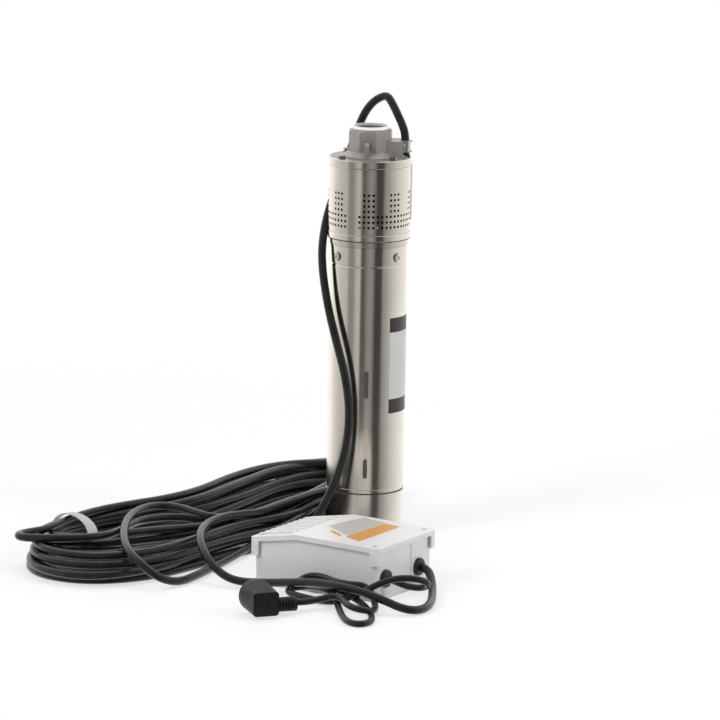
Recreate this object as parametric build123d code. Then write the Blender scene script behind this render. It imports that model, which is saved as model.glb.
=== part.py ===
from build123d import *
import os
from math import cos, pi, radians, sin, sqrt, tan

# A submersible borehole pump for a 100 mm well, with its control box, pump lead and mains lead.
# Millimetres, +Z up. The origin is the centre of the pump's bottom face, on the floor.
# Angles round the pump are measured from the front (-Y) towards +X.

# Heights of the pump
TOTAL_HEIGHT = 489.0
FLANGE_TOP = 452.7
SLEEVE_TOP = 443.3
SLEEVE_BOTTOM = 365.2
BRACKET_RIM_TOP = 357.7
TUBE_TOP = 350.1
BEAD_HEIGHT = 327.4
TUBE_BOTTOM = 60.3
CUP_SHOULDER = 55.8

# Radii of the pump
RIM_RADIUS = 49.0
RIM_SEAM = 0.6
SLEEVE_RADIUS = 48.0
SLEEVE_WALL = 1.2
RING_RADIUS = 48.7
BRACKET_RIM_RADIUS = 46.2
TUBE_RADIUS = 45.75
TUBE_WALL = 1.35
TUBE_BORE = TUBE_RADIUS - TUBE_WALL
FLANGE_RADIUS = 47.4

# Outlet head: an octagon with an internal G 1 1/4 thread, turned a little from the front
HEAD_TURN = -7.0
OCTAGON_ACROSS_FLATS = 48.5
THREAD_MINOR_RADIUS = 19.48
THREAD_LENGTH = 22.0
OUTLET_RING_RADIUS = 21.0
PORT_RADIUS = 16.0
HEAD_BOLT_CIRCLE = 43.0
HEAD_BOLT_ANGLES = [HEAD_TURN + 46 + 90 * i for i in range(4)]
BOLT_RADIUS = 2.5
BOLT_ACROSS_FLATS = 8.0
LUG_HOLE_RADIUS = 4.0
LUG_HOLE_REACH = 29.0
LUG_HOLE_HEIGHT = 465.0

# Cable clamp on the head
CLAMP_X = 40.8
CLAMP_Y = -1.5
CLAMP_LOW = 458.5
CLAMP_HIGH = 472.5
BOSS_END = 37.3

# Leads
PUMP_LEAD_RADIUS = 4.8
MAINS_LEAD_RADIUS = 3.9
CABLE_SLOT_ANGLE = 104.0
CABLE_SLOT_REACH = 45.0
ENTRY_REACH = 39.5

# Pump stage
CASING_RADIUS = 39.5
CASING_LOW = 384.0
CASING_TOP = 408.0
CASING_FLAT = 33.0
CHANNEL_RADIUS = 31.0
IMPELLER_RADIUS = 28.0
IMPELLER_LOW = 388.0
IMPELLER_HIGH = 398.0
VANE_COUNT = 30
CASING_SCREW_CIRCLE = 34.5
CASING_SCREW_ANGLES = [CABLE_SLOT_ANGLE + 45 + 90 * i for i in range(4)]

# Motor
SHAFT_RADIUS = 7.5
SHAFT_NOSE_RADIUS = 6.0
SHAFT_CORE_RADIUS = 9.5
ROTOR_RADIUS = 23.8
STATOR_BORE = 24.3
STACK_LOW = 128.0
STACK_HIGH = 282.0
STATOR_SLOTS = 24
BEARING_OUTER = 17.5
BEARING_WIDTH = 11.0
UPPER_BEARING_LOW = 322.0
LOWER_BEARING_LOW = 84.0
TUBE_SCREW_HEIGHT = 337.5
TUBE_SCREW_ANGLES = [-51.5, 46.0, 128.5, -134.0]
WELD_SLOTS = [(171.0, 204.0), (75.0, 98.6)]
WELD_SLOT_WIDTH = 5.0
PLUG_SPOT = (0, 24)

# Strainer holes: short columns everywhere and tall ones in groups of three
HOLE_RADIUS = 1.55
HOLE_PITCH = 6.4
LOWEST_HOLE = 374.6
SHORT_ROWS = 3
TALL_ROWS = 7
COLUMN_STEP = 6.5
FIRST_COLUMN = -13.7
COLUMN_COUNT = 53

# Control box: its own frame has x along the short side, y along the long side
BOX_CENTRE = (-23.2, -260.5)
BOX_TURN = 58.8
BODY_SHORT = 120.0
BODY_LONG = 162.0
BOX_WALL = 2.6
LID_SHORT = 129.0
LID_LONG = 171.0
LID_NEAR = 62.5
LID_RIDGE = 65.0
LID_FAR = 54.5
LID_BAND = 5.7
LID_WALL = 2.4
GASKET = 1.5
POST_PLACES = [(x, y) for x in (-54, 54) for y in (-75, 75)]
RIDGE_PLACE = 109.5
EAR_DROP = 20.5
EAR_SIDE = 12.0
RIB_COUNT = 9
RIB_PITCH = 11.8
RIB_HEIGHT = 1.8
GLAND_RADIUS = 10.25
GLAND_REACH = 4.5
GLAND_SHANK = 7.6
GLAND_HEIGHT = 24.5
GLAND_PLACES = [-41.0, 31.0]


def around(radius, angle, z=0.0):
    """The point at a radius and an angle from the front of the pump."""
    return Vector(radius * sin(radians(angle)), -radius * cos(radians(angle)), z)


def turn_to(angle):
    """A location that turns the +X direction of a shape to an angle round the pump."""
    return Rot(0, 0, angle - 90)


def rod(radius, low, high, centre=(0, 0)):
    """An upright cylinder between two heights."""
    place = Pos(centre[0], centre[1], (low + high) / 2)
    return place * Cylinder(radius, high - low)


def ring(outer, inner, low, high, centre=(0, 0)):
    """An upright tube between two heights."""
    return rod(outer, low, high, centre) - rod(inner, low, high, centre)


def turned(*profile):
    """A solid of revolution round the pump's axis, from a closed (radius, height) outline."""
    outline = Polyline(*[(radius, 0, z) for radius, z in profile], close=True)
    return revolve(make_face(outline), Axis.Z)


def block(x_range, y_range, z_range):
    """A box between two corners."""
    size = [high - low for low, high in (x_range, y_range, z_range)]
    middle = [(high + low) / 2 for low, high in (x_range, y_range, z_range)]
    return Pos(*middle) * Box(*size)


def hexagon(across_flats, low, high, centre=(0, 0)):
    """An upright hexagonal prism."""
    outline = RegularPolygon(across_flats / 2, 6, major_radius=False)
    return Pos(centre[0], centre[1], low) * extrude(outline, high - low)


def spot(radius, angle):
    """The plan position at a radius and angle round the pump."""
    point = around(radius, angle)
    return (point.X, point.Y)


def single(shape):
    """The largest solid of a shape."""
    return max(shape.solids(), key=lambda solid: solid.volume)


def lead_room(gap):
    """The space of the lead past the sleeve, the rim and the clamp, with a gap round it."""
    path, radii = lead_path(PUMP_LEAD_DROP[:LEAD_PAST_HEAD])
    section = Plane(origin=path @ 0, z_dir=path % 0) * Circle(PUMP_LEAD_RADIUS + gap)
    return sweep(section, path)


def outlet_head():
    """The cast head: its foot with flange and skirt, and the octagonal outlet with rope lugs and clamp boss."""
    octagon = RegularPolygon(OCTAGON_ACROSS_FLATS / 2, 8, major_radius=False, rotation=HEAD_TURN + 22.5)
    tower = Pos(0, 0, SLEEVE_TOP + 4) * extrude(octagon, TOTAL_HEIGHT - SLEEVE_TOP - 4)
    crown = turned(
        (0, SLEEVE_TOP), (30, SLEEVE_TOP), (30, TOTAL_HEIGHT - 12.5), (OUTLET_RING_RADIUS, TOTAL_HEIGHT),
        (0, TOTAL_HEIGHT),
    )
    tower = tower & crown
    flange = rod(FLANGE_RADIUS, SLEEVE_TOP, FLANGE_TOP)
    skirt = turned(
        (0, FLANGE_TOP - 1), (33, FLANGE_TOP - 1), (33, FLANGE_TOP + 1), (24, FLANGE_TOP + 8), (0, FLANGE_TOP + 8),
    )
    boss = block((15, BOSS_END), (CLAMP_Y - 15, CLAMP_Y + 15), (FLANGE_TOP - 1, CLAMP_HIGH))
    boss_side = Polyline(
        (BOSS_END - 1, 0, FLANGE_TOP - 1), (45.5, 0, FLANGE_TOP - 1), (BOSS_END - 1, 0, FLANGE_TOP + 5.5), close=True,
    )
    wedge = Pos(0, CLAMP_Y + 15, 0) * extrude(make_face(boss_side), 30, dir=(0, -1, 0))
    head = flange + tower + skirt + boss + (wedge & rod(FLANGE_RADIUS, FLANGE_TOP - 1, FLANGE_TOP + 8))
    for side in (0, 180):
        plate = block((20, 29), (-2.5, 2.5), (FLANGE_TOP - 1, 472))
        plate += block((20, 34), (-2.5, 2.5), (FLANGE_TOP - 1, 467))
        plate += Pos(29, 0, 467) * Rot(90, 0, 0) * Cylinder(5, 5)
        plate -= Pos(LUG_HOLE_REACH, 0, LUG_HOLE_HEIGHT) * Rot(90, 0, 0) * Cylinder(LUG_HOLE_RADIUS, 12)
        head += turn_to(HEAD_TURN + side) * plate
    head -= rod(PORT_RADIUS, SLEEVE_TOP, TOTAL_HEIGHT)
    head -= rod(THREAD_MINOR_RADIUS, TOTAL_HEIGHT - THREAD_LENGTH, TOTAL_HEIGHT)
    head -= rod(PUMP_LEAD_RADIUS + 0.5, CLAMP_LOW - 5, CLAMP_HIGH + 2, (CLAMP_X, CLAMP_Y))
    notch = around(CABLE_SLOT_REACH, CABLE_SLOT_ANGLE)
    head -= rod(PUMP_LEAD_RADIUS + 1.8, SLEEVE_TOP - 1, FLANGE_TOP + 8, (notch.X, notch.Y))
    head -= rod(PUMP_LEAD_RADIUS + 1.4, FLANGE_TOP - 6, FLANGE_TOP + 8, (CLAMP_X + 2, CLAMP_Y + 2.5))
    for angle in HEAD_BOLT_ANGLES:
        head -= rod(BOLT_RADIUS, SLEEVE_TOP, FLANGE_TOP + 1, spot(HEAD_BOLT_CIRCLE, angle))
        head -= rod(5.2, FLANGE_TOP, FLANGE_TOP + 9, spot(HEAD_BOLT_CIRCLE, angle))
    for y in (CLAMP_Y - 10.6, CLAMP_Y + 10.6):
        head -= Pos(BOSS_END - 5, y, (CLAMP_LOW + CLAMP_HIGH) / 2) * Rot(0, 90, 0) * Cylinder(2, 12)
    head = single(head - lead_room(0.6))
    skirt_top = FLANGE_TOP + 8
    foot = head & block((-60, 60), (-60, 60), (SLEEVE_TOP - 1, skirt_top))
    upper = head & block((-60, 60), (-60, 60), (skirt_top, TOTAL_HEIGHT + 1))
    return [single(foot), single(upper)]


def rim_band():
    """The bright band round the flange, open where the lead passes."""
    low = SLEEVE_TOP + RIM_SEAM
    band = turned(
        (FLANGE_RADIUS, low), (RIM_RADIUS - 0.5, low), (RIM_RADIUS, low + 0.5), (RIM_RADIUS, FLANGE_TOP - 0.8),
        (RIM_RADIUS - 0.8, FLANGE_TOP), (FLANGE_RADIUS, FLANGE_TOP),
    )
    notch = around(CABLE_SLOT_REACH + 2, CABLE_SLOT_ANGLE)
    band -= rod(PUMP_LEAD_RADIUS + 2.4, SLEEVE_TOP - 1, FLANGE_TOP + 1, (notch.X, notch.Y))
    return single(band - lead_room(1.2))


def head_bolts():
    """Four hexagon-head bolts that hold the outlet head to the pump casing."""
    bolts = []
    for angle in HEAD_BOLT_ANGLES:
        place = spot(HEAD_BOLT_CIRCLE, angle)
        head = hexagon(BOLT_ACROSS_FLATS, FLANGE_TOP, FLANGE_TOP + 4, place)
        bolts.append(head + rod(BOLT_RADIUS, SLEEVE_TOP - 9, FLANGE_TOP, place))
    return bolts


def head_gasket():
    """The flat gasket between the head's port and the casing's riser."""
    return ring(PORT_RADIUS + 6, PORT_RADIUS, SLEEVE_TOP - 1.5, SLEEVE_TOP)


def clamp_profile(gap):
    """The outline of the saddle seen from above: two ears and a bow over the lead."""
    bow = Circle(PUMP_LEAD_RADIUS + 1.9) - Circle(PUMP_LEAD_RADIUS + 0.4)
    bow = bow & Pos(4, 0) * Rectangle(8, 20)
    ears = Pos(0.8 - gap, 0) * Rectangle(1.6, 30) - Rectangle(12, 2 * PUMP_LEAD_RADIUS + 0.8)
    return bow + ears


def cable_clamp():
    """The pressed saddle that holds the lead against the boss, with its edges turned out."""
    gap = CLAMP_X - BOSS_END
    strap = Pos(CLAMP_X, CLAMP_Y, CLAMP_LOW) * extrude(clamp_profile(gap), CLAMP_HIGH - CLAMP_LOW)
    legs = block((BOSS_END, CLAMP_X + 0.1), (CLAMP_Y - 6.7, CLAMP_Y - 5.2), (CLAMP_LOW, CLAMP_HIGH))
    legs += block((BOSS_END, CLAMP_X + 0.1), (CLAMP_Y + 5.2, CLAMP_Y + 6.7), (CLAMP_LOW, CLAMP_HIGH))
    lips = block((CLAMP_X + 5.4, CLAMP_X + 8.4), (CLAMP_Y - 3.4, CLAMP_Y + 3.4), (CLAMP_HIGH - 1.5, CLAMP_HIGH))
    lips += block((CLAMP_X + 5.4, CLAMP_X + 7.6), (CLAMP_Y - 3.4, CLAMP_Y + 3.4), (CLAMP_LOW, CLAMP_LOW + 1.5))
    saddle = strap + legs + lips
    for y in (CLAMP_Y - 10.6, CLAMP_Y + 10.6):
        saddle -= Pos(BOSS_END + 1, y, (CLAMP_LOW + CLAMP_HIGH) / 2) * Rot(0, 90, 0) * Cylinder(2.1, 4)
    return single(saddle)


def clamp_screws():
    """Two cheese-head screws through the saddle into the boss."""
    middle = (CLAMP_LOW + CLAMP_HIGH) / 2
    screws = []
    for y in (CLAMP_Y - 10.6, CLAMP_Y + 10.6):
        shank = Pos(BOSS_END - 4.2, y, middle) * Rot(0, 90, 0) * Cylinder(2, 11.6)
        head = Pos(BOSS_END + 2.9, y, middle) * Rot(0, 90, 0) * Cylinder(3.5, 2.6)
        screws.append(shank + head)
    return screws


def hole_columns():
    """Each column of strainer holes: its angle and its number of rows."""
    columns = []
    for index in range(COLUMN_COUNT):
        tall = (index - 1) % 6 < 3
        columns.append((FIRST_COLUMN + COLUMN_STEP * index, TALL_ROWS if tall else SHORT_ROWS))
    return columns


def strainer_sleeve():
    """The perforated sleeve, slotted at the side where the lead runs down."""
    sleeve = ring(SLEEVE_RADIUS, SLEEVE_RADIUS - SLEEVE_WALL, SLEEVE_BOTTOM, SLEEVE_TOP)
    slot = block((40, 60), (-6.2, 6.2), (SLEEVE_BOTTOM + 17, SLEEVE_TOP + 1))
    holes = []
    for angle, rows in hole_columns():
        if abs((angle - CABLE_SLOT_ANGLE + 180) % 360 - 180) < 13:
            continue
        for row in range(rows):
            height = LOWEST_HOLE + HOLE_PITCH * row
            holes.append(turn_to(angle) * Pos(SLEEVE_RADIUS - 1, 0, height) * Rot(0, 90, 0) * Cylinder(HOLE_RADIUS, 8))
    return single(sleeve.cut(turn_to(CABLE_SLOT_ANGLE) * slot, lead_room(0.5), *holes))


def cable_guard():
    """The channel that covers the lead along the sleeve."""
    low, high = SLEEVE_BOTTOM + 12, SLEEVE_TOP
    outside = Pos(43.9, 0, low) * extrude(Rectangle(13.4, 15.6), high - low)
    outside = fillet(outside.edges().filter_by(Axis.Z).group_by(Axis.X)[-1], 4)
    inside = Pos(43.5, 0, low + 3) * extrude(Rectangle(12.6, 13.8), high - low)
    inside = fillet(inside.edges().filter_by(Axis.Z).group_by(Axis.X)[-1], 3)
    channel = turn_to(CABLE_SLOT_ANGLE) * (outside - inside)
    return single(channel - rod(SLEEVE_RADIUS, low - 1, high + 1) - lead_room(0.4))


def sleeve_ring():
    """The bright ring on which the sleeve stands, with a lip inside it."""
    inner = SLEEVE_RADIUS - SLEEVE_WALL
    return turned(
        (TUBE_BORE, BRACKET_RIM_TOP), (RING_RADIUS - 0.6, BRACKET_RIM_TOP), (RING_RADIUS, BRACKET_RIM_TOP + 0.6),
        (RING_RADIUS, SLEEVE_BOTTOM - 0.6), (RING_RADIUS - 0.6, SLEEVE_BOTTOM), (inner, SLEEVE_BOTTOM),
        (inner, SLEEVE_BOTTOM + 4), (inner - 1.2, SLEEVE_BOTTOM + 4), (inner - 1.2, SLEEVE_BOTTOM), (TUBE_BORE, SLEEVE_BOTTOM),
    )


def cable_flat(low, high):
    """The space beside the casing that its flat leaves for the lead."""
    return turn_to(CABLE_SLOT_ANGLE) * block((CASING_FLAT, 60), (-30, 30), (low, high))


def pump_casing():
    """The cast casing: vane channel with a stripper, a tapering riser and a top flange."""
    flange_low = SLEEVE_TOP - 11.5
    flange_high = SLEEVE_TOP - 1.5
    body = rod(CASING_RADIUS, CASING_LOW, CASING_TOP) - cable_flat(CASING_LOW, CASING_TOP)
    riser = turned(
        (0, CASING_TOP - 1), (30, CASING_TOP - 1), (30, CASING_TOP), (23, CASING_TOP + 16), (23, flange_low + 1),
        (0, flange_low + 1),
    )
    flange = rod(SLEEVE_RADIUS - SLEEVE_WALL, flange_low, flange_high)
    casing = body + riser + flange
    casing -= ring(CHANNEL_RADIUS, 24, CASING_LOW - 1, IMPELLER_HIGH + 2)
    casing -= rod(24.5, CASING_LOW - 1, IMPELLER_HIGH + 0.15)
    casing -= rod(13, IMPELLER_HIGH, IMPELLER_HIGH + 8.5)
    stripper = ring(CHANNEL_RADIUS, IMPELLER_RADIUS + 0.2, CASING_LOW, IMPELLER_HIGH + 2)
    casing += stripper & (turn_to(-90) * block((20, 40), (-7, 7), (CASING_LOW, IMPELLER_HIGH + 2)))
    casing -= turned(
        (0, CASING_TOP), (27.5, CASING_TOP), (20, CASING_TOP + 16), (PORT_RADIUS, flange_low), (PORT_RADIUS, flange_high + 1),
        (0, flange_high + 1),
    )
    port = around(25.5, -90 + 28)
    casing -= rod(3, IMPELLER_HIGH - 1, CASING_TOP + 2, (port.X, port.Y))
    notch = around(CABLE_SLOT_REACH, CABLE_SLOT_ANGLE)
    casing -= rod(PUMP_LEAD_RADIUS + 1.4, flange_low - 1, flange_high + 1, (notch.X, notch.Y))
    for angle in HEAD_BOLT_ANGLES:
        casing -= rod(BOLT_RADIUS, flange_low, flange_high + 1, spot(HEAD_BOLT_CIRCLE, angle))
    for angle in CASING_SCREW_ANGLES:
        casing -= rod(BOLT_RADIUS, CASING_LOW - 1, CASING_TOP + 1, spot(CASING_SCREW_CIRCLE, angle))
        casing -= rod(4.6, CASING_TOP, CASING_TOP + 8, spot(CASING_SCREW_CIRCLE, angle))
    return single(casing - lead_room(0.8))


def suction_cover():
    """The lower cover of the stage, on four feet, with the suction port."""
    cover = rod(CASING_RADIUS, CASING_LOW - 8, CASING_LOW) - cable_flat(CASING_LOW - 8, CASING_LOW)
    cover += rod(23.8, CASING_LOW, IMPELLER_LOW - 0.15)
    for angle in CASING_SCREW_ANGLES:
        cover += rod(5.5, SLEEVE_BOTTOM + 0.8, CASING_LOW - 8, spot(CASING_SCREW_CIRCLE, angle))
    cover -= rod(8.2, CASING_LOW - 9, IMPELLER_LOW)
    port = around(27.2, -90 - 28)
    cover -= rod(3.5, CASING_LOW - 9, CASING_LOW + 5, (port.X, port.Y))
    for angle in CASING_SCREW_ANGLES:
        cover -= rod(BOLT_RADIUS, SLEEVE_BOTTOM, CASING_LOW + 1, spot(CASING_SCREW_CIRCLE, angle))
    return single(cover)


def casing_screws():
    """Four long screws through the casing and its cover into the upper bracket."""
    screws = []
    for angle in CASING_SCREW_ANGLES:
        place = spot(CASING_SCREW_CIRCLE, angle)
        head = rod(4.25, CASING_TOP, CASING_TOP + 5, place) - hexagon(4, CASING_TOP + 2.5, CASING_TOP + 6, place)
        screws.append(head + rod(BOLT_RADIUS, SLEEVE_BOTTOM - 10, CASING_TOP, place))
    return screws


def impeller():
    """The regenerative impeller: a disc with radial vanes cut into both edges of its rim."""
    disc = rod(IMPELLER_RADIUS, IMPELLER_LOW, IMPELLER_HIGH)
    disc += rod(11.5, IMPELLER_LOW, IMPELLER_HIGH + 5)
    pockets = []
    for index in range(VANE_COUNT):
        angle = 360 / VANE_COUNT * index
        for height in (IMPELLER_LOW, IMPELLER_HIGH):
            pocket = Pos(IMPELLER_RADIUS, 0, height) * Rot(90, 0, 0) * Cylinder(4.6, 3.6)
            pockets.append(Rot(0, 0, angle) * pocket)
    disc = disc.cut(*pockets)
    disc -= rod(SHAFT_NOSE_RADIUS, IMPELLER_LOW - 1, IMPELLER_HIGH + 6)
    disc -= block((0, SHAFT_NOSE_RADIUS + 1.5), (-1.5, 1.5), (IMPELLER_LOW - 1, IMPELLER_HIGH + 6))
    return single(disc)


def impeller_key():
    """The key between the shaft's nose and the impeller."""
    return block((SHAFT_NOSE_RADIUS - 1.5, SHAFT_NOSE_RADIUS + 1.5), (-1.5, 1.5), (IMPELLER_LOW, IMPELLER_HIGH + 5))


def impeller_ring():
    """The retaining ring in the groove at the shaft's nose."""
    low = IMPELLER_HIGH + 5
    clip = ring(SHAFT_NOSE_RADIUS + 2.4, SHAFT_NOSE_RADIUS - 0.6, low, low + 1)
    return single(clip - block((-12, -3), (-2, 2), (low - 1, low + 2)))


def shaft():
    """The stepped motor shaft, from the lower bearing to the impeller."""
    nose_low = SLEEVE_BOTTOM + 6.8
    top = IMPELLER_HIGH + 7.2
    groove = IMPELLER_HIGH + 5
    body = turned(
        (0, LOWER_BEARING_LOW - 4), (SHAFT_RADIUS - 0.8, LOWER_BEARING_LOW - 4), (SHAFT_RADIUS, LOWER_BEARING_LOW - 3.2),
        (SHAFT_RADIUS, LOWER_BEARING_LOW + BEARING_WIDTH), (SHAFT_CORE_RADIUS, LOWER_BEARING_LOW + BEARING_WIDTH),
        (SHAFT_CORE_RADIUS, UPPER_BEARING_LOW), (SHAFT_RADIUS, UPPER_BEARING_LOW), (SHAFT_RADIUS, nose_low),
        (SHAFT_NOSE_RADIUS, nose_low), (SHAFT_NOSE_RADIUS, groove), (SHAFT_NOSE_RADIUS - 0.6, groove),
        (SHAFT_NOSE_RADIUS - 0.6, groove + 1), (SHAFT_NOSE_RADIUS, groove + 1), (SHAFT_NOSE_RADIUS, top - 1),
        (SHAFT_NOSE_RADIUS - 1, top), (0, top),
    )
    return single(body - block((SHAFT_NOSE_RADIUS - 1.5, 12), (-1.5, 1.5), (IMPELLER_LOW, IMPELLER_HIGH + 5)))


def rotor_core():
    """The laminated rotor core on the shaft."""
    return ring(ROTOR_RADIUS, SHAFT_CORE_RADIUS, STACK_LOW, STACK_HIGH)


def rotor_end_rings():
    """The cast end rings of the rotor cage."""
    lower = ring(ROTOR_RADIUS - 1, 14, STACK_LOW - 10, STACK_LOW)
    upper = ring(ROTOR_RADIUS - 1, 14, STACK_HIGH, STACK_HIGH + 10)
    return [lower, upper]


def stator_core():
    """The laminated stator core with its winding slots."""
    core = ring(TUBE_BORE, STATOR_BORE, STACK_LOW, STACK_HIGH)
    slots = []
    for index in range(STATOR_SLOTS):
        slot = block((26.5, 37), (-1.9, 1.9), (STACK_LOW - 1, STACK_HIGH + 1))
        mouth = block((23, 27), (-0.9, 0.9), (STACK_LOW - 1, STACK_HIGH + 1))
        slots.append(Rot(0, 0, 360 / STATOR_SLOTS * index) * (slot + mouth))
    return single(core.cut(*slots))


def stator_windings():
    """The copper windings: a bar in each slot, joined by the end turns."""
    end = 21.0
    lower = ring(40, 27.5, STACK_LOW - end, STACK_LOW - 1.5)
    upper = ring(40, 27.5, STACK_HIGH + 1.5, STACK_HIGH + end)
    lower = fillet(lower.edges().group_by(Axis.Z)[0], 4)
    upper = fillet(upper.edges().group_by(Axis.Z)[-1], 4)
    coils = lower + upper
    for index in range(STATOR_SLOTS):
        bar = block((27.6, 36.7), (-1.6, 1.6), (STACK_LOW - 3, STACK_HIGH + 3))
        coils += Rot(0, 0, 360 / STATOR_SLOTS * index) * bar
    return single(coils)


def upper_bracket():
    """The upper end bracket: bearing seat, seal chamber, and the rim that shows below the sleeve."""
    top = SLEEVE_BOTTOM + 0.8
    seat = UPPER_BEARING_LOW
    body = turned(
        (SHAFT_RADIUS + 1, seat - 7), (40, seat - 7), (TUBE_BORE, seat - 3), (TUBE_BORE, TUBE_TOP), (BRACKET_RIM_RADIUS, TUBE_TOP),
        (BRACKET_RIM_RADIUS, BRACKET_RIM_TOP), (TUBE_BORE, BRACKET_RIM_TOP), (TUBE_BORE, top), (SHAFT_RADIUS + 1, top),
    )
    body -= rod(BEARING_OUTER, seat - 8, seat + BEARING_WIDTH)
    body -= rod(12, seat + BEARING_WIDTH - 1, seat + BEARING_WIDTH + 6)
    body -= rod(16, seat + 18, 356)
    body -= rod(14, 355, 363)
    entry = spot(ENTRY_REACH, CABLE_SLOT_ANGLE)
    body -= rod(2.6, seat - 8, top + 1, entry)
    for angle in CASING_SCREW_ANGLES:
        body -= rod(BOLT_RADIUS, top - 11, top + 1, spot(CASING_SCREW_CIRCLE, angle))
    for angle in TUBE_SCREW_ANGLES:
        body -= turn_to(angle) * Pos(TUBE_BORE - 4, 0, TUBE_SCREW_HEIGHT) * Rot(0, 90, 0) * Cylinder(BOLT_RADIUS, 12)
    for height in (344.5, 321.8):
        body -= ring(TUBE_BORE + 1, TUBE_BORE - 2, height - 1.3, height + 1.3)
    return single(body)


def bracket_seal_rings():
    """Two square-cut rubber rings that seal the upper bracket in the tube."""
    return [ring(TUBE_BORE, TUBE_BORE - 2, height - 1.3, height + 1.3) for height in (344.5, 321.8)]


def seal_seat():
    """The stationary ring of the shaft seal, pressed into the bracket."""
    return turned((8.6, 356), (14, 356), (14, 363), (9.6, 363), (9.6, 358), (8.6, 358))


def seal_head():
    """The rotating head of the shaft seal: face ring, bellows and holder."""
    return turned(
        (SHAFT_RADIUS, 341), (13, 341), (13, 344), (11, 345.5), (13, 347), (11, 348.5), (13, 350), (13, 353),
        (11.4, 353), (11.4, 356), (8.4, 356), (8.4, 352), (SHAFT_RADIUS, 352),
    )


def bearing_outer(low):
    """The outer ring of a ball bearing."""
    return ring(BEARING_OUTER, 14.6, low, low + BEARING_WIDTH)


def bearing_inner(low):
    """The inner ring of a ball bearing, on the shaft."""
    return ring(10.1, SHAFT_RADIUS, low, low + BEARING_WIDTH)


def bearing_balls(low):
    """The balls of a bearing in their cage."""
    middle = low + BEARING_WIDTH / 2
    cage = ring(12.9, 11.8, middle - 1.2, middle + 1.2)
    for index in range(8):
        cage += Rot(0, 0, 45 * index) * Pos(12.35, 0, middle) * Sphere(2.2)
    return single(cage)


def weld_slot(inner, outer, low, high):
    """An upright slot with round ends, through the tube at the front."""
    outline = SlotOverall(high - low, WELD_SLOT_WIDTH)
    shape = Plane.YZ * Pos(0, (low + high) / 2) * Rot(0, 0, 90) * outline
    bar = Pos(inner, 0, 0) * extrude(shape, outer - inner)
    return bar


def motor_tube():
    """The motor tube with its rolled bead, weld slots and screw holes."""
    tube = turned(
        (TUBE_BORE, TUBE_BOTTOM), (TUBE_RADIUS - 0.4, TUBE_BOTTOM), (TUBE_RADIUS, TUBE_BOTTOM + 0.6), (TUBE_RADIUS, BEAD_HEIGHT - 1.2),
        (TUBE_RADIUS - 0.7, BEAD_HEIGHT - 0.3), (TUBE_RADIUS - 0.7, BEAD_HEIGHT + 0.3),
        (TUBE_RADIUS, BEAD_HEIGHT + 1.2), (TUBE_RADIUS, TUBE_TOP), (TUBE_BORE, TUBE_TOP),
    )
    cuts = []
    for side in (0, 180):
        for low, high in WELD_SLOTS:
            cuts.append(turn_to(side) * weld_slot(40, 50, low, high))
    for angle in TUBE_SCREW_ANGLES:
        cuts.append(turn_to(angle) * Pos(TUBE_RADIUS, 0, TUBE_SCREW_HEIGHT) * Rot(0, 90, 0) * Cylinder(BOLT_RADIUS, 8))
    return single(tube.cut(*cuts))


def slot_welds():
    """The plug welds that fill the tube's slots a little below its surface."""
    welds = []
    for side in (0, 180):
        for low, high in WELD_SLOTS:
            bar = turn_to(side) * weld_slot(40, 50, low, high)
            welds.append(single(bar & ring(TUBE_RADIUS - 0.5, TUBE_BORE, low - 1, high + 1)))
    return welds


def tube_screws():
    """Four pan-head screws through the tube into the upper bracket."""
    screws = []
    for angle in TUBE_SCREW_ANGLES:
        head = Pos(TUBE_RADIUS - 0.6, 0, 0) * Rot(0, 90, 0) * (Pos(0, 0, 1.6) * Cylinder(4.6, 3.2))
        head = fillet(head.edges().group_by(Axis.X)[-1], 1.4)
        head -= rod(TUBE_RADIUS, -10, 10)
        recess = block((TUBE_RADIUS + 1.4, TUBE_RADIUS + 4), (-2.6, 2.6), (-0.6, 0.6))
        recess += block((TUBE_RADIUS + 1.4, TUBE_RADIUS + 4), (-0.6, 0.6), (-2.6, 2.6))
        shank = Pos(TUBE_RADIUS - 4.5, 0, 0) * Rot(0, 90, 0) * Cylinder(BOLT_RADIUS, 9.6)
        screws.append(turn_to(angle) * Pos(0, 0, TUBE_SCREW_HEIGHT) * single(head + shank - recess))
    return screws


def lower_bracket():
    """The lower end bracket with its bearing seat and oil passages."""
    low = TUBE_BOTTOM + 5.7
    seat = LOWER_BEARING_LOW
    body = turned(
        (0, low), (TUBE_BORE, low), (TUBE_BORE, seat + 18), (40, seat + 20), (BEARING_OUTER, seat + 14), (0, seat + 14),
    )
    body -= rod(BEARING_OUTER, seat, seat + 30)
    body -= rod(12, seat - 6, seat + 1)
    for index in range(3):
        body -= rod(4, low - 1, seat + 30, spot(29, 60 + 120 * index))
    return single(body)


def base_cup():
    """The closed cup at the bottom, with the groove where the tube is rolled onto it."""
    neck = TUBE_RADIUS - 0.9
    cup = turned(
        (0, 0), (TUBE_RADIUS - 3, 0), (TUBE_RADIUS, 3), (TUBE_RADIUS, CUP_SHOULDER - 0.6), (TUBE_RADIUS - 0.4, CUP_SHOULDER),
        (neck, CUP_SHOULDER), (neck, TUBE_BOTTOM), (TUBE_BORE, TUBE_BOTTOM), (TUBE_BORE, TUBE_BOTTOM + 5.7),
        (41, TUBE_BOTTOM + 5.7), (41, TUBE_BOTTOM), (42.5, TUBE_BOTTOM - 2), (42.5, 6), (0, 6),
    )
    cup -= rod(10, -1, 2.5, PLUG_SPOT)
    return single(cup - rod(4, -1, 7, PLUG_SPOT))


def oil_plug():
    """The filling plug in the base."""
    plug = rod(4, 2.5, 8, PLUG_SPOT) + rod(6.5, 0.6, 2.5, PLUG_SPOT)
    return single(plug - hexagon(4, 0, 2.8, PLUG_SPOT))


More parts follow.
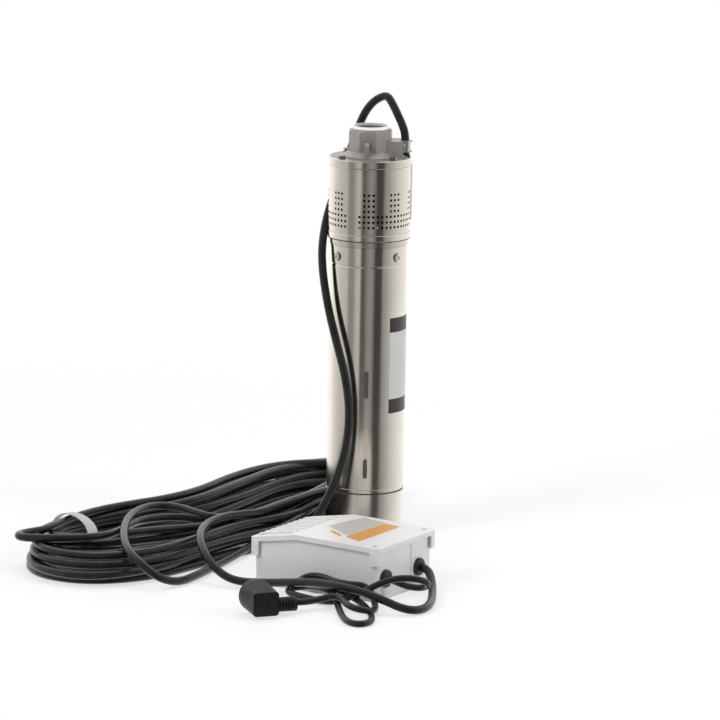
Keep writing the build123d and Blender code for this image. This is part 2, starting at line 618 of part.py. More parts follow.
def pressure_diaphragm():
    """The rubber dish that lets the motor oil expand."""
    top = TUBE_BOTTOM + 5.7
    return turned(
        (0, 44), (30, 44), (36, top - 4), (41, top - 4), (41, top), (34.5, top), (28.5, 46), (0, 46),
    )


def cable_entry_seal():
    """The rubber plug round the cores where the lead enters the motor."""
    top = SLEEVE_BOTTOM + 0.8
    return ring(4.9, 1.6, top, top + 5, spot(ENTRY_REACH, CABLE_SLOT_ANGLE))


def cable_entry_nut():
    """The gland nut that presses the rubber plug round the lead."""
    top = SLEEVE_BOTTOM + 0.8
    place = spot(ENTRY_REACH, CABLE_SLOT_ANGLE)
    return single(ring(6.0, 4.9, top, top + 10, place))


def in_box(shape):
    """Puts a shape of the control box's own frame in its place on the floor."""
    return Pos(BOX_CENTRE[0], BOX_CENTRE[1], 0) * Rot(0, 0, BOX_TURN) * shape


def lid_height(y, drop=0.0):
    """The height of the lid's top at a place along the box, less a drop."""
    near = -LID_LONG / 2
    ridge = near + RIDGE_PLACE
    if y <= ridge:
        return LID_NEAR + (LID_RIDGE - LID_NEAR) * (y - near) / RIDGE_PLACE - drop
    return LID_RIDGE - (LID_RIDGE - LID_FAR) * (y - ridge) / (LID_LONG - RIDGE_PLACE) - drop


def roof(inset, drop):
    """The solid below the lid's top surface, from the floor, inset at the sides and lowered by a drop."""
    near = -LID_LONG / 2 + inset
    far = LID_LONG / 2 - inset
    ridge = -LID_LONG / 2 + RIDGE_PLACE
    side = Polyline(
        (0, near, 0), (0, far, 0), (0, far, lid_height(far, drop)), (0, ridge, lid_height(ridge, drop)),
        (0, near, lid_height(near, drop)), close=True,
    )
    half = LID_SHORT / 2 - inset
    return Pos(-half, 0, 0) * extrude(make_face(side), 2 * half, dir=(1, 0, 0))


def box_base():
    """The lower shell of the control box, open at the top, with its gland holes."""
    body = block((-BODY_SHORT / 2, BODY_SHORT / 2), (-BODY_LONG / 2, BODY_LONG / 2), (0, 70))
    body = fillet(body.edges().filter_by(Axis.Z), 5)
    body = body & roof(0, LID_WALL + GASKET)
    half_x = BODY_SHORT / 2 - BOX_WALL
    half_y = BODY_LONG / 2 - BOX_WALL
    hollow = block((-half_x, half_x), (-half_y, half_y), (BOX_WALL, 80))
    body -= fillet(hollow.edges().filter_by(Axis.Z), 3)
    for place in POST_PLACES:
        body += rod(3.6, BOX_WALL - 0.5, lid_height(place[1], LID_WALL + 4), place)
        body -= rod(1.6, 34, 60, place)
    panel = block((-BODY_SHORT / 2 + 6, 16), (-BODY_LONG / 2 - 1, -BODY_LONG / 2 + 0.8), (6, 54))
    body -= panel
    for x in GLAND_PLACES:
        body -= Pos(x, -BODY_LONG / 2, GLAND_HEIGHT) * Rot(90, 0, 0) * Cylinder(GLAND_SHANK, 8)
    return in_box(single(body))


def box_lid():
    """The lid: a shallow roof with a ridge, ribs on its far slope, a band and four corner ears."""
    prism = block((-LID_SHORT / 2, LID_SHORT / 2), (-LID_LONG / 2, LID_LONG / 2), (-1, 80))
    outer = roof(0, 0) & fillet(prism.edges().filter_by(Axis.Z), 6)
    inner = roof(LID_WALL, LID_WALL)
    shell = outer - inner
    band = shell - roof(-1, LID_BAND)
    ears = []
    for x in (-1, 1):
        for y in (-1, 1):
            x_range = sorted((x * (LID_SHORT / 2 - EAR_SIDE), x * (LID_SHORT / 2 + 1)))
            y_range = sorted((y * (LID_LONG / 2 - EAR_SIDE), y * (LID_LONG / 2 + 1)))
            low = lid_height(y * LID_LONG / 2) - EAR_DROP
            ears.append(shell & block(x_range, y_range, (low, 80)))
    lid = band + ears[0] + ears[1] + ears[2] + ears[3]
    ridge = -LID_LONG / 2 + RIDGE_PLACE
    end = LID_LONG / 2 - 4
    rib_side = Polyline(
        (0, ridge + 6, lid_height(ridge + 6, 1)), (0, end, lid_height(end, 1)), (0, end, lid_height(end, -RIB_HEIGHT)),
        (0, ridge + 14, lid_height(ridge + 14, -RIB_HEIGHT)), close=True,
    )
    rib = extrude(make_face(rib_side), 6, dir=(1, 0, 0))
    for index in range(RIB_COUNT):
        lid += Pos((index - (RIB_COUNT - 1) / 2) * RIB_PITCH - 3, 0, 0) * rib
    for place in POST_PLACES:
        lid -= rod(1.6, 40, 80, place) + rod(3.4, lid_height(place[1], 1.4), 80, place)
    return in_box(single(lid))


def lid_screws():
    """Four screws through the lid into the posts of the box."""
    screws = []
    for place in POST_PLACES:
        seat = lid_height(place[1], 1.4)
        head = rod(3.2, seat, seat + 2, place) - block((place[0] - 3, place[0] + 3), (place[1] - 0.4, place[1] + 0.4), (seat + 1, 80))
        screws.append(in_box(head + rod(1.6, 36, seat, place)))
    return screws


def gland(x, length, radius):
    """A cylinder that stands out of the gland wall of the box."""
    face = -BODY_LONG / 2
    return Pos(x, face - length / 2, GLAND_HEIGHT) * Rot(90, 0, 0) * Cylinder(radius, length)


def gland_bodies():
    """The two round bushings that grip the leads in the wall of the box."""
    bodies = []
    for x, lead in zip(GLAND_PLACES, (MAINS_LEAD_RADIUS, PUMP_LEAD_RADIUS)):
        flange = gland(x, GLAND_REACH, GLAND_RADIUS)
        flange = fillet(flange.edges().group_by(Axis.Y)[0], 2)
        shank = Pos(0, 7, 0) * gland(x, 7, GLAND_SHANK)
        bore = Pos(0, 8, 0) * gland(x, 16, lead)
        bodies.append(in_box(single(flange + shank - bore)))
    return bodies


def gland_nuts():
    """The lock nuts of the bushings, inside the box."""
    nuts = []
    for x in GLAND_PLACES:
        face = -BODY_LONG / 2 + BOX_WALL
        outline = RegularPolygon(9.2, 6, major_radius=False, rotation=30) - Circle(GLAND_SHANK)
        nuts.append(in_box(Pos(x, face + 3.6, GLAND_HEIGHT) * Rot(90, 0, 0) * extrude(outline, 3.6)))
    return nuts


def run_capacitor():
    """The motor's run capacitor, lying in the box, with its two terminals."""
    can = Pos(-14, 30, 24) * Rot(90, 0, 0) * Cylinder(19, 84)
    can = fillet(can.edges(), 2)
    for x in (-20, -8):
        can += block((x - 3, x + 3), (-21, -12), (23.6, 24.4))
    return in_box(single(can))


def capacitor_clip():
    """The spring clip that holds the capacitor to the floor of the box."""
    band = Pos(-14, 30, 24) * Rot(90, 0, 0) * (Cylinder(20.4, 14) - Cylinder(19, 16))
    band -= block((-40, 12), (15, 45), (30, 60))
    band += block((-24, -4), (23, 37), (BOX_WALL, 4.4)) - Pos(-14, 30, 24) * Rot(90, 0, 0) * Cylinder(19, 20)
    return in_box(single(band))


def terminal_block():
    """The screw terminal strip for the two leads."""
    strip = block((20, 52), (-60, -8), (BOX_WALL, 18))
    for index in range(5):
        y = -55 + 10.5 * index
        strip += block((26, 46), (y - 3.6, y + 3.6), (17, 24))
        strip -= rod(2.2, 18, 25, (31, y)) + rod(2.2, 18, 25, (41, y))
    return in_box(single(strip))


def terminal_screws():
    """The clamping screws of the terminal strip."""
    screws = []
    for index in range(5):
        y = -55 + 10.5 * index
        for x in (31, 41):
            screws.append(in_box(rod(2.2, 18, 22.4, (x, y)) - block((x - 3, x + 3), (y - 0.4, y + 0.4), (21.4, 23))))
    return screws


def thermal_protector():
    """The overload protector fixed inside the box."""
    body = block((26, 46), (8, 34), (BOX_WALL, 30))
    body = fillet(body.edges().filter_by(Axis.Z), 2)
    body += block((34, 38), (12, 18), (29, 36)) + block((34, 38), (24, 30), (29, 36))
    return in_box(single(body))


def box_gasket():
    """The foam cord in the joint between the box and its lid."""
    outer = block((-BODY_SHORT / 2, BODY_SHORT / 2), (-BODY_LONG / 2, BODY_LONG / 2), (0, 80))
    outer = fillet(outer.edges().filter_by(Axis.Z), 5)
    half_x = BODY_SHORT / 2 - 2
    half_y = BODY_LONG / 2 - 2
    inner = fillet(block((-half_x, half_x), (-half_y, half_y), (0, 80)).edges().filter_by(Axis.Z), 3)
    return in_box(single((outer - inner) & (roof(0, LID_WALL) - roof(-1, LID_WALL + GASKET))))


def lead_path(points, share=0.45):
    """A lead's path: straight runs joined by arcs as large as the runs allow, and its arc radii."""
    spots = [Vector(*point) for point in points]
    radii = []
    for before, here, after in zip(spots, spots[1:], spots[2:]):
        turn = (here - before).get_angle(after - here)
        shorter = min((here - before).length, (after - here).length)
        radii.append(share * shorter / tan(radians(turn) / 2))
    return FilletPolyline(*spots, radius=radii), radii


def lead_tube(name, points, radius):
    """A lead's tube along its path. Prints the smallest arc radius and checks the volume."""
    path, radii = lead_path(points)
    section = Plane(origin=path @ 0, z_dir=path % 0) * Circle(radius)
    tube = sweep(section, path)
    full = pi * radius**2 * path.length
    print(name, "length", round(path.length), "volume share", round(tube.volume / full, 4))
    print("  radii", [round(value) for value in radii])
    return tube


# The pump lead from the motor up the side of the pump, through the clamp, over the outlet and down
PUMP_LEAD_DROP = [
    (38.3, 9.6, 371.0), (38.3, 9.6, 384), (40.6, 10.1, 397), (43.2, 10.8, 411), (43.2, 10.8, 425),
    (43.8, 9.9, 437), (44.9, 6.0, 447), (40.8, -1.5, 455.5), (40.8, -1.5, 478), (37.0, 1.0, 489), (29.0, 7.0, 503.5),
    (22.0, 16.5, 514.8), (14.5, 25.5, 518.8), (5.2, 30.5, 514.8), (-3.5, 34.5, 505), (-10.5, 39.0, 491.5), (-18.0, 46.0, 472.8),
    (-28.0, 52.0, 450.5), (-40.0, 45.0, 428), (-51.0, 24.0, 404), (-56.0, 6.0, 376), (-55.2, -6.0, 346), (-53.8, -14.0, 316),
    (-46.5, -28.0, 276), (-36.6, -42.0, 240), (-26.4, -51.5, 205), (-20.5, -54.5, 172), (-19.6, -55.5, 145), (-22.0, -57.0, 119),
    (-27.5, -58.0, 95), (-35.5, -58.0, 72), (-46.0, -57.0, 48), (-57.5, -56.0, 27), (-72.0, -56.0, 16.5), (-90.0, -58.0, 14.5),
    (-106.0, -66.0, 14.5),
]
LEAD_PAST_HEAD = 11

# The pump lead from the coil over its loose turns, across the front of the box and into its gland
PUMP_LEAD_FRONT = [
    (-126.0, -84.0, 30.0), (-144.0, -97.0, 38.5), (-165.0, -122.0, 43.5), (-182.0, -158.0, 43.5), (-188.0, -200.0, 43.5),
    (-187.0, -236.0, 40.0), (-180.0, -264.0, 31.0), (-167.0, -283.0, 18.0), (-147.0, -293.0, 8.0), (-118.0, -303.0, 8.5),
    (-86.0, -326.0, 15.0), (-56.0, -349.0, 21.5), (-30.0, -375.0, 24.5), (-2.0, -396.0, 23.5), (24.0, -410.0, 16.0),
    (48.0, -417.0, 7.0), (68.0, -414.0, 5.2), (80.0, -396.0, 5.0), (85.5, -366.0, 5.0), (86.5, -334.0, 6.0),
    (85.5, -310.0, 11.0), (81.5, -293.0, 18.5), (75.5, -284.0, 23.5), (66.0, -278.3, 24.5),
]

# The mains lead from its gland round a flat loop into the hank, and from the hank to the plug
MAINS_LEAD_LOOP = [
    (28.7, -339.9, 24.5), (37.5, -345.2, 22.5), (48.0, -350.5, 19.5), (59.0, -353.5, 18.0), (69.0, -357.5, 19.5),
    (73.6, -366.0, 25.0), (69.5, -375.0, 31.0), (59.0, -379.5, 34.5), (46.0, -380.5, 35.5), (32.5, -380.0, 33.5),
    (20.0, -379.5, 29.0), (8.5, -380.0, 22.0), (-1.0, -382.0, 13.0),
]
MAINS_LEAD_TAIL = [
    (-36.0, -392.0, 8.0), (-48.0, -396.0, 7.2), (-60.0, -399.0, 8.0), (-72.0, -400.5, 10.0),
]

# Outlines of the coil and the hank as they lie on the floor
COIL_OUTSIDE = [
    (-402, -206), (-376, -254), (-318, -300), (-250, -290), (-196, -205), (-150, -122), (-104, -76), (-72, -18), (-38, 66),
    (12, 112), (40, 152), (36, 206), (-12, 250), (-84, 272), (-140, 248), (-184, 160), (-246, 66), (-326, -14), (-378, -118),
]
COIL_INSIDE = [
    (-304, -196), (-262, -210), (-216, -140), (-160, -72), (-108, -20), (-74, 44), (-36, 112), (0, 150), (2, 190),
    (-44, 224), (-96, 196), (-134, 112), (-186, 12), (-250, -70), (-300, -130),
]
COIL_HEIGHT = 38.0
HANK_OUTSIDE = [
    (-84, -352), (-68, -332), (-42, -350), (-14, -372), (8, -378), (17, -392), (12, -416), (11, -450), (-4, -482),
    (-20, -470), (-28, -430), (-42, -404), (-70, -378),
]
HANK_HEIGHT = 14.0
STRAP = 1.2

# Plug: the middle of its body, how it lies, and its sizes
PLUG_PLACE = (-113.0, -424.0, 19.5)
PLUG_TURN = 20.0
PLUG_RADIUS = 19.0
PLUG_DEPTH = 40.0
NECK_RADIUS = 8.2
NECK_DROP = -8.0


def pump_lead_coil():
    """The outer shape of the coiled part of the pump lead."""
    outside = make_face(Spline(*COIL_OUTSIDE, periodic=True))
    inside = make_face(Spline(*COIL_INSIDE, periodic=True))
    coil = extrude(outside - inside, COIL_HEIGHT)
    return single(chamfer(coil.edges().group_by(Axis.Z)[-1], 8))


def mains_lead_hank():
    """The outer shape of the tied hank of the mains lead."""
    hank = extrude(make_face(Spline(*HANK_OUTSIDE, periodic=True)), HANK_HEIGHT)
    return single(chamfer(hank.edges().group_by(Axis.Z)[-1], 4))


def coil_strap():
    """The flat strap that lies over the coil."""
    return Pos(-332, -154, COIL_HEIGHT + STRAP / 2) * Rot(0, 0, 21) * Box(12, 100, STRAP)


def hank_tie():
    """The tie over the hank."""
    return block((-38, -34), (-398, -364), (HANK_HEIGHT, HANK_HEIGHT + STRAP))


def in_plug(shape):
    """Puts a shape of the plug's own frame, where -y is its back and +x its neck, in its place."""
    return Pos(*PLUG_PLACE) * Rot(0, 0, PLUG_TURN) * shape


def plug_body():
    """The angled moulded plug: a round face, a tapering hood and a ribbed neck."""
    face = Plane.XZ.offset(-PLUG_DEPTH / 2) * Circle(PLUG_RADIUS)
    rim = Plane.XZ.offset(-PLUG_DEPTH / 2 + 10) * Circle(PLUG_RADIUS)
    back = Plane.XZ.offset(PLUG_DEPTH / 2) * Pos(0, -2) * RectangleRounded(30, 27, 4)
    hood = loft([face, rim]) + loft([rim, back])
    neck = Pos(0, 0, NECK_DROP) * Rot(0, 90, 0) * Pos(0, 0, 24) * Cylinder(NECK_RADIUS, 34)
    for index in range(5):
        groove = Pos(0, 0, NECK_DROP) * Rot(0, 90, 0) * Pos(0, 0, 20 + 3.6 * index) * Cylinder(NECK_RADIUS + 1, 1.5)
        neck -= groove - Pos(0, 0, NECK_DROP) * Rot(0, 90, 0) * Pos(0, 0, 24) * Cylinder(NECK_RADIUS - 1.4, 40)
    return in_plug(single(hood + neck))


def plug_pins():
    """The two contact pins of the plug."""
    pins = []
    for x in (-9.5, 9.5):
        pin = Pos(x, PLUG_DEPTH / 2 + 9.5, 0) * Rot(90, 0, 0) * Cylinder(2.4, 19)
        pins.append(in_plug(fillet(pin.edges().group_by(Axis.Y)[-1], 1)))
    return pins


def write(name, *solids):
    """Writes one node to its own file."""
    shape = solids[0] if len(solids) == 1 else Compound(children=list(solids))
    export_step(shape, f"parts/{name}.step")


os.makedirs("parts", exist_ok=True)

write("outlet_head", *outlet_head())
write("rim_band", rim_band())
write("head_bolts", *head_bolts())
write("head_gasket", head_gasket())
write("cable_clamp", cable_clamp())
write("clamp_screws", *clamp_screws())
write("strainer_sleeve", strainer_sleeve())
write("cable_guard", cable_guard())
write("sleeve_ring", sleeve_ring())
write("pump_casing", pump_casing())
write("suction_cover", suction_cover())
write("casing_screws", *casing_screws())
write("impeller", impeller())
write("impeller_key", impeller_key())
write("impeller_ring", impeller_ring())
write("shaft", shaft())
write("rotor_core", rotor_core())
write("rotor_end_rings", *rotor_end_rings())
write("stator_core", stator_core())
write("stator_windings", stator_windings())
write("upper_bracket", upper_bracket())
write("bracket_seal_rings", *bracket_seal_rings())
write("seal_seat", seal_seat())
write("seal_head", seal_head())
for place, low in (("upper", UPPER_BEARING_LOW), ("lower", LOWER_BEARING_LOW)):
    write(f"{place}_bearing_outer", bearing_outer(low))
    write(f"{place}_bearing_inner", bearing_inner(low))
    write(f"{place}_bearing_balls", bearing_balls(low))
write("motor_tube", motor_tube())
write("slot_welds", *slot_welds())
write("tube_screws", *tube_screws())
write("lower_bracket", lower_bracket())
write("base_cup", base_cup())
write("oil_plug", oil_plug())
write("pressure_diaphragm", pressure_diaphragm())
write("cable_entry_seal", cable_entry_seal())
write("cable_entry_nut", cable_entry_nut())
write("box_base", box_base())
write("box_lid", box_lid())
write("box_gasket", box_gasket())
write("lid_screws", *lid_screws())
write("gland_bodies", *gland_bodies())
write("gland_nuts", *gland_nuts())
write("run_capacitor", run_capacitor())
write("capacitor_clip", capacitor_clip())
write("terminal_block", terminal_block())
write("terminal_screws", *terminal_screws())
write("thermal_protector", thermal_protector())
coil = pump_lead_coil()
hank = mains_lead_hank()
plug = plug_body()
write("pump_lead_drop", single(lead_tube("pump_lead_drop", PUMP_LEAD_DROP, PUMP_LEAD_RADIUS) - coil))
write("pump_lead_coil", coil)
write("pump_lead_front", single(lead_tube("pump_lead_front", PUMP_LEAD_FRONT, PUMP_LEAD_RADIUS) - coil - hank))
write("mains_lead_loop", single(lead_tube("mains_lead_loop", MAINS_LEAD_LOOP, MAINS_LEAD_RADIUS) - hank))
write("mains_lead_hank", hank)
write("mains_lead_tail", single(lead_tube("mains_lead_tail", MAINS_LEAD_TAIL, MAINS_LEAD_RADIUS) - hank - plug))
write("plug_body", plug)
write("plug_pins", *plug_pins())
write("coil_strap", coil_strap())
write("hank_tie", hank_tie())
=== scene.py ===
"""Finishes and free leads for a submersible pump with its control box."""

import math

import bpy
import numpy as np
from bpy.props import FloatProperty, FloatVectorProperty, IntProperty
from mathutils import Matrix


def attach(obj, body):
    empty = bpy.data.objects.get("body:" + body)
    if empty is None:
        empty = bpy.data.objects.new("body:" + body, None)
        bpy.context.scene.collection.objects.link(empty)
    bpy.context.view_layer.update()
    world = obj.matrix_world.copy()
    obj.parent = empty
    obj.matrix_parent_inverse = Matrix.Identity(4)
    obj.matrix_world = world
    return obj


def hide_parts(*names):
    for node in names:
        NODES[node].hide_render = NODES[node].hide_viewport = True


bl_info = {
    "name": "Submersible pump finishes",
    "version": (1, 0, 0),
    "blender": (4, 5, 0),
    "location": "View3D > Sidebar > Pump",
    "description": "Leads, plates, finishes and studio for a submersible pump",
    "category": "Object",
}

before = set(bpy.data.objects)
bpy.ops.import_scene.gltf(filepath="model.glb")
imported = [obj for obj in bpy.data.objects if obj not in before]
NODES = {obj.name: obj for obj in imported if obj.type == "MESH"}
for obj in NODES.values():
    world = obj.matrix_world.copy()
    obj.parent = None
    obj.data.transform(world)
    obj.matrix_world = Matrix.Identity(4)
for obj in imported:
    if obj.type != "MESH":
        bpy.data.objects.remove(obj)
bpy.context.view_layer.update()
MM = 0.001

# Control box: its middle on the floor and its turn
BOX_MIDDLE = (-23.2, -260.5)
BOX_TURN = math.radians(58.8)

# The pump lead from the motor up through the clamp, over the outlet and down to the coil, in millimetres
LEAD_DROP = [
    (38.3, 9.6, 371.0), (38.3, 9.6, 384), (40.6, 10.1, 397), (43.2, 10.8, 411), (43.2, 10.8, 425),
    (43.8, 9.9, 437), (44.9, 6.0, 447), (40.8, -1.5, 455.5), (40.8, -1.5, 478), (37.5, 1.0, 489), (30.0, 7.0, 504.0),
    (24.5, 14.0, 514.0), (18.5, 21.5, 522.0), (7.0, 28.5, 516.5), (-3.0, 34.0, 506), (-10.5, 39.0, 491.5), (-17.0, 46.0, 472.8),
    (-24.0, 53.0, 450.5), (-31.5, 49.5, 428), (-41.0, 35.5, 404), (-50.5, 17.0, 376), (-55.2, -4.0, 346), (-53.8, -14.0, 316),
    (-46.5, -28.0, 276), (-36.6, -42.0, 240), (-26.4, -51.5, 205), (-20.5, -54.5, 172), (-19.6, -55.5, 145), (-22.0, -57.0, 119),
    (-27.5, -58.0, 95), (-35.5, -58.0, 72), (-46.0, -57.0, 48), (-57.5, -56.0, 27), (-72.0, -56.0, 16.5), (-90.0, -58.0, 14.5),
]

# The pump lead from the coil over its loose turns, across the front of the box and into its bushing
LEAD_FRONT = [
    (-127.0, -84.0, 40.0), (-146.0, -100.0, 41.5), (-165.0, -122.0, 43.5), (-182.0, -158.0, 43.5), (-188.0, -200.0, 43.5),
    (-187.0, -236.0, 40.0), (-180.0, -264.0, 31.0), (-167.0, -283.0, 18.0), (-147.0, -293.0, 8.0), (-118.0, -303.0, 8.5),
    (-86.0, -326.0, 15.0), (-56.0, -349.0, 21.5), (-30.0, -375.0, 24.5), (-2.0, -396.0, 23.5), (24.0, -408.0, 16.0),
    (44.0, -414.0, 8.5), (60.0, -410.0, 5.5), (71.0, -395.0, 5.0), (77.0, -366.0, 5.0), (78.5, -334.0, 6.5),
    (78.5, -310.0, 11.5), (76.5, -293.0, 18.5), (72.5, -284.0, 23.5), (66.0, -278.3, 24.5),
]

# Stations round the coil: the inner edge, the outer edge and the lift of the heap there
COIL_STATIONS = np.array([
    (-106, 20, -100, -84, 1.0), (-150, -14, -148, -138, 1.1), (-198, -84, -190, -210, 1.2), (-246, -112, -242, -282, 1.2),
    (-290, -150, -312, -305, 1.2), (-328, -168, -368, -268, 1.2), (-350, -146, -386, -208, 1.2), (-330, -100, -366, -146, 1.25),
    (-268, -74, -290, -54, 1.35), (-200, -34, -214, 4, 1.4), (-142, 54, -164, 114, 1.4), (-100, 138, -126, 186, 1.4),
    (-62, 186, -80, 230, 1.35), (-26, 206, -18, 262, 1.2), (0, 196, 26, 222, 1.1), (10, 150, 36, 158, 1.0),
    (-20, 110, 4, 92, 1.0), (-60, 82, -50, 42, 1.0), (-86, 54, -72, -24, 1.0),
], float)

# Each loose turn: its share of the way out, its height, and how far its left end stands out
COIL_TURNS = [
    (0.00, 5, 0.0), (0.30, 5, -0.08), (0.60, 5, 0.06), (1.00, 5, -0.02), (0.86, 5, 0.0), (0.92, 13, 0.03), (0.50, 13, -0.1),
    (0.16, 13, 0.08), (0.34, 21, -0.1), (0.68, 20, 0.12), (0.98, 20, -0.06), (0.80, 28, 0.08), (0.42, 28, -0.1),
]

# The way from the drop into the first turn
COIL_START = [(-110, -60, 12.5), (-134, -65, 9), (-166, -75, 6)]

# The last turn, with its long left end on top of the heap, the big loose loop, and the way back behind the pump
COIL_TOP = [
    (-104, -45, 27), (-145, -75, 32), (-185, -100, 35), (-216, -96, 36.5), (-239, -103, 37), (-260, -123, 38), (-272, -152, 39),
    (-281, -191, 40), (-300, -224, 41), (-333, -236, 41), (-366, -233, 40), (-389, -226, 38.5), (-398, -213, 38), (-390, -197, 37.5),
    (-374, -187, 38), (-362, -172, 38.5), (-344, -134, 40), (-316, -95, 41.5), (-279, -60, 42), (-236, -26, 42), (-197, 24, 42),
    (-160, 108, 42), (-118, 172, 41), (-68, 208, 39), (-16, 222, 36), (22, 206, 34), (34, 160, 34), (8, 98, 34), (-34, 40, 34), (-78, -14, 28),
    (-104, -66, 16), (-132, -120, 8), (-162, -190, 5), (-186, -248, 5), (-205, -288, 5), (-222, -303, 9), (-238, -311, 19),
    (-252, -307, 30), (-266, -286, 38), (-273, -252, 42.5), (-276, -205, 45), (-274, -145, 46), (-262, -98, 46), (-241, -71, 44.5),
    (-217, -74, 43), (-199, -90, 41), (-182, -102, 38.5), (-160, -98, 37), (-134, -76, 36), (-108, -44, 36), (-80, 4, 36),
    (-58, 56, 36.5), (-42, 98, 37), (-18, 130, 37.5), (12, 138, 38.5), (30, 114, 40), (22, 84, 41), (-4, 66, 41.5), (-36, 50, 41.5),
    (-64, 18, 41), (-84, -14, 41), (-101, -42, 40.5), (-114, -64, 40),
]


# The strap over the coil's left end, in millimetres
STRAP = [
    (-374, -118, 2), (-368, -112, 20), (-357, -116, 39), (-345, -127, 47), (-330, -152, 49), (-318, -186, 49),
    (-312, -206, 45), (-310, -214, 36),
]

# Rings of painted shade in the joint gaps of the shell: radius and the two heights; and the angles of the tube screws
# from the front
SEAM_SHADES = [(48.15, 364.4, 365.3), (48.15, 356.9, 357.9), (45.95, 349.8, 350.3), (45.75, 55.4, 56.4)]
SCREW_ANGLES = [-51.5, 46.0, 128.5, -134.0]


def coil_points():
    """Control points of the loose turns: inner + (outer - inner) * share, the share and height passing from one turn to the next."""
    stations = len(COIL_STATIONS)
    inner = COIL_STATIONS[:, :2]
    outer = COIL_STATIONS[:, 2:4]
    lift = COIL_STATIONS[:, 4]
    left = np.exp(-(((np.arange(stations) - 5.6) / 1.9) ** 2))
    points = []
    turns = np.array(COIL_TURNS)
    wobble = np.random.default_rng(11).normal(0, 1, (len(turns), 6))
    place = np.arange(stations) / stations
    step = np.clip((place - 0.62) / 0.3, 0, 1)
    step = step * step * (3 - 2 * step)
    for index in range(len(turns)):
        following = turns[min(index + 1, len(turns) - 1)]
        share, height, reach = turns[index]
        out = share + (following[0] - share) * step + reach * left
        out = out + 0.08 * wobble[index, 0] * np.sin(2 * np.pi * place + wobble[index, 1])
        out = out + 0.08 * wobble[index, 2] * np.sin(6 * np.pi * place + wobble[index, 3])
        out = np.clip(out, 0.0, 1.06)
        z = 4.9 + (height + (following[1] - height) * step - 5) * lift
        if height > 6:
            z = z + 2.2 * wobble[index, 4] * np.sin(6 * np.pi * place + wobble[index, 5])
        flat = inner + (outer - inner) * out[:, None]
        points.append(np.column_stack([flat, np.maximum(z, 4.9)]))
    return np.concatenate([np.array(COIL_START, float), points[0][2:], *points[1:], np.array(COIL_TOP, float)])


# The mains lead: its bushing, a flat loop, the tied hank and the run to the plug
MAINS_ROUTE = [
    (28.7, -339.9, 24.5), (37.5, -345.2, 22.5), (48.0, -350.5, 19.5), (59.0, -353.5, 18.0), (69.0, -357.5, 19.5),
    (73.6, -366.0, 25.0), (69.5, -375.0, 31.0), (59.0, -379.5, 34.5), (46.0, -380.5, 35.5), (32.5, -380.0, 33.5),
    (20.0, -379.5, 29.0), (4.0, -381.0, 21.0), (-14.0, -383.0, 13.0), (-32.0, -380.0, 6.5), (-50.0, -368.0, 5.0),
    (-66.0, -354.0, 5.0), (-79.0, -342.0, 5.5), (-85.0, -330.0, 6.0), (-80.0, -320.0, 7.5),
    (-68.0, -319.0, 9.0), (-56.0, -329.0, 11.5), (-42.0, -348.0, 13.0), (-31.0, -373.0, 12.0), (-27.0, -400.0, 6.0), (-23.0, -430.0, 4.0), (-19.0, -452.0, 4.0),
    (-12.0, -467.0, 4.0), (-1.0, -471.0, 4.0), (8.0, -462.0, 4.0), (11.0, -446.0, 4.0), (9.0, -418.0, 4.0), (2.0, -392.0, 6.0),
    (-12.0, -374.0, 12.0), (-32.0, -362.0, 18.0), (-52.0, -350.0, 19.0), (-65.0, -338.0, 17.0), (-71.0, -328.0, 17.5),
    (-67.0, -319.0, 19.5), (-56.0, -320.0, 22.5), (-44.0, -333.0, 24.0), (-31.0, -356.0, 24.0), (-14.0, -368.0, 24.0), (2.0, -370.0, 24.0),
    (11.0, -376.0, 15.0), (14.0, -388.0, 7.0), (14.5, -408.0, 6.0), (11.0, -423.0, 7.5), (2.0, -431.0, 10.0),
    (-9.0, -430.0, 12.0), (-17.0, -418.0, 13.0), (-22.0, -400.0, 14.0), (-32.0, -389.0, 16.0), (-46.0, -390.0, 12.5), (-60.0, -396.0, 10.5),
    (-70.0, -399.5, 10.5), (-76.0, -401.0, 10.5),
]


class Leads(bpy.types.PropertyGroup):
    pump_lead: FloatProperty(name="Pump lead", description="Diameter of the pump lead", default=0.0096, unit="LENGTH")
    mains_lead: FloatProperty(name="Mains lead", description="Diameter of the mains lead", default=0.0078, unit="LENGTH")
    jacket: FloatVectorProperty(name="Jacket", description="Colour of the rubber jackets", subtype="COLOR", size=3,
                                default=(0.012, 0.012, 0.013))


class Metals(bpy.types.PropertyGroup):
    stainless: FloatVectorProperty(name="Stainless", description="Colour of the stainless sheet", subtype="COLOR", size=3,
                                   default=(0.88, 0.83, 0.74))
    cast: FloatVectorProperty(name="Cast grey", description="Colour of the cast outlet head", subtype="COLOR", size=3,
                              default=(0.40, 0.375, 0.345))


class Plastics(bpy.types.PropertyGroup):
    white: FloatVectorProperty(name="Box white", description="Colour of the control box", subtype="COLOR", size=3,
                               default=(0.715, 0.70, 0.69))
    field: FloatVectorProperty(name="Lid field", description="Colour of the bare field on the lid", subtype="COLOR", size=3,
                               default=(0.619, 0.298, 0.065))


class Plates(bpy.types.PropertyGroup):
    start: FloatProperty(name="Plate start", description="Angle from the front where the tube plate begins", default=35.5)
    end: FloatProperty(name="Plate end", description="Angle from the front where the tube plate ends", default=101.0)
    low: FloatProperty(name="Plate low", description="Height of the tube plate's lower edge in millimetres", default=152.0)
    high: FloatProperty(name="Plate high", description="Height of the tube plate's upper edge in millimetres", default=266.0)


class Studio(bpy.types.PropertyGroup):
    lens: FloatProperty(name="Lens", description="Focal length of the camera in millimetres", default=258.6)
    floor: FloatVectorProperty(name="Floor", description="Colour of the floor", subtype="COLOR", size=3,
                               default=(0.86, 0.86, 0.86))


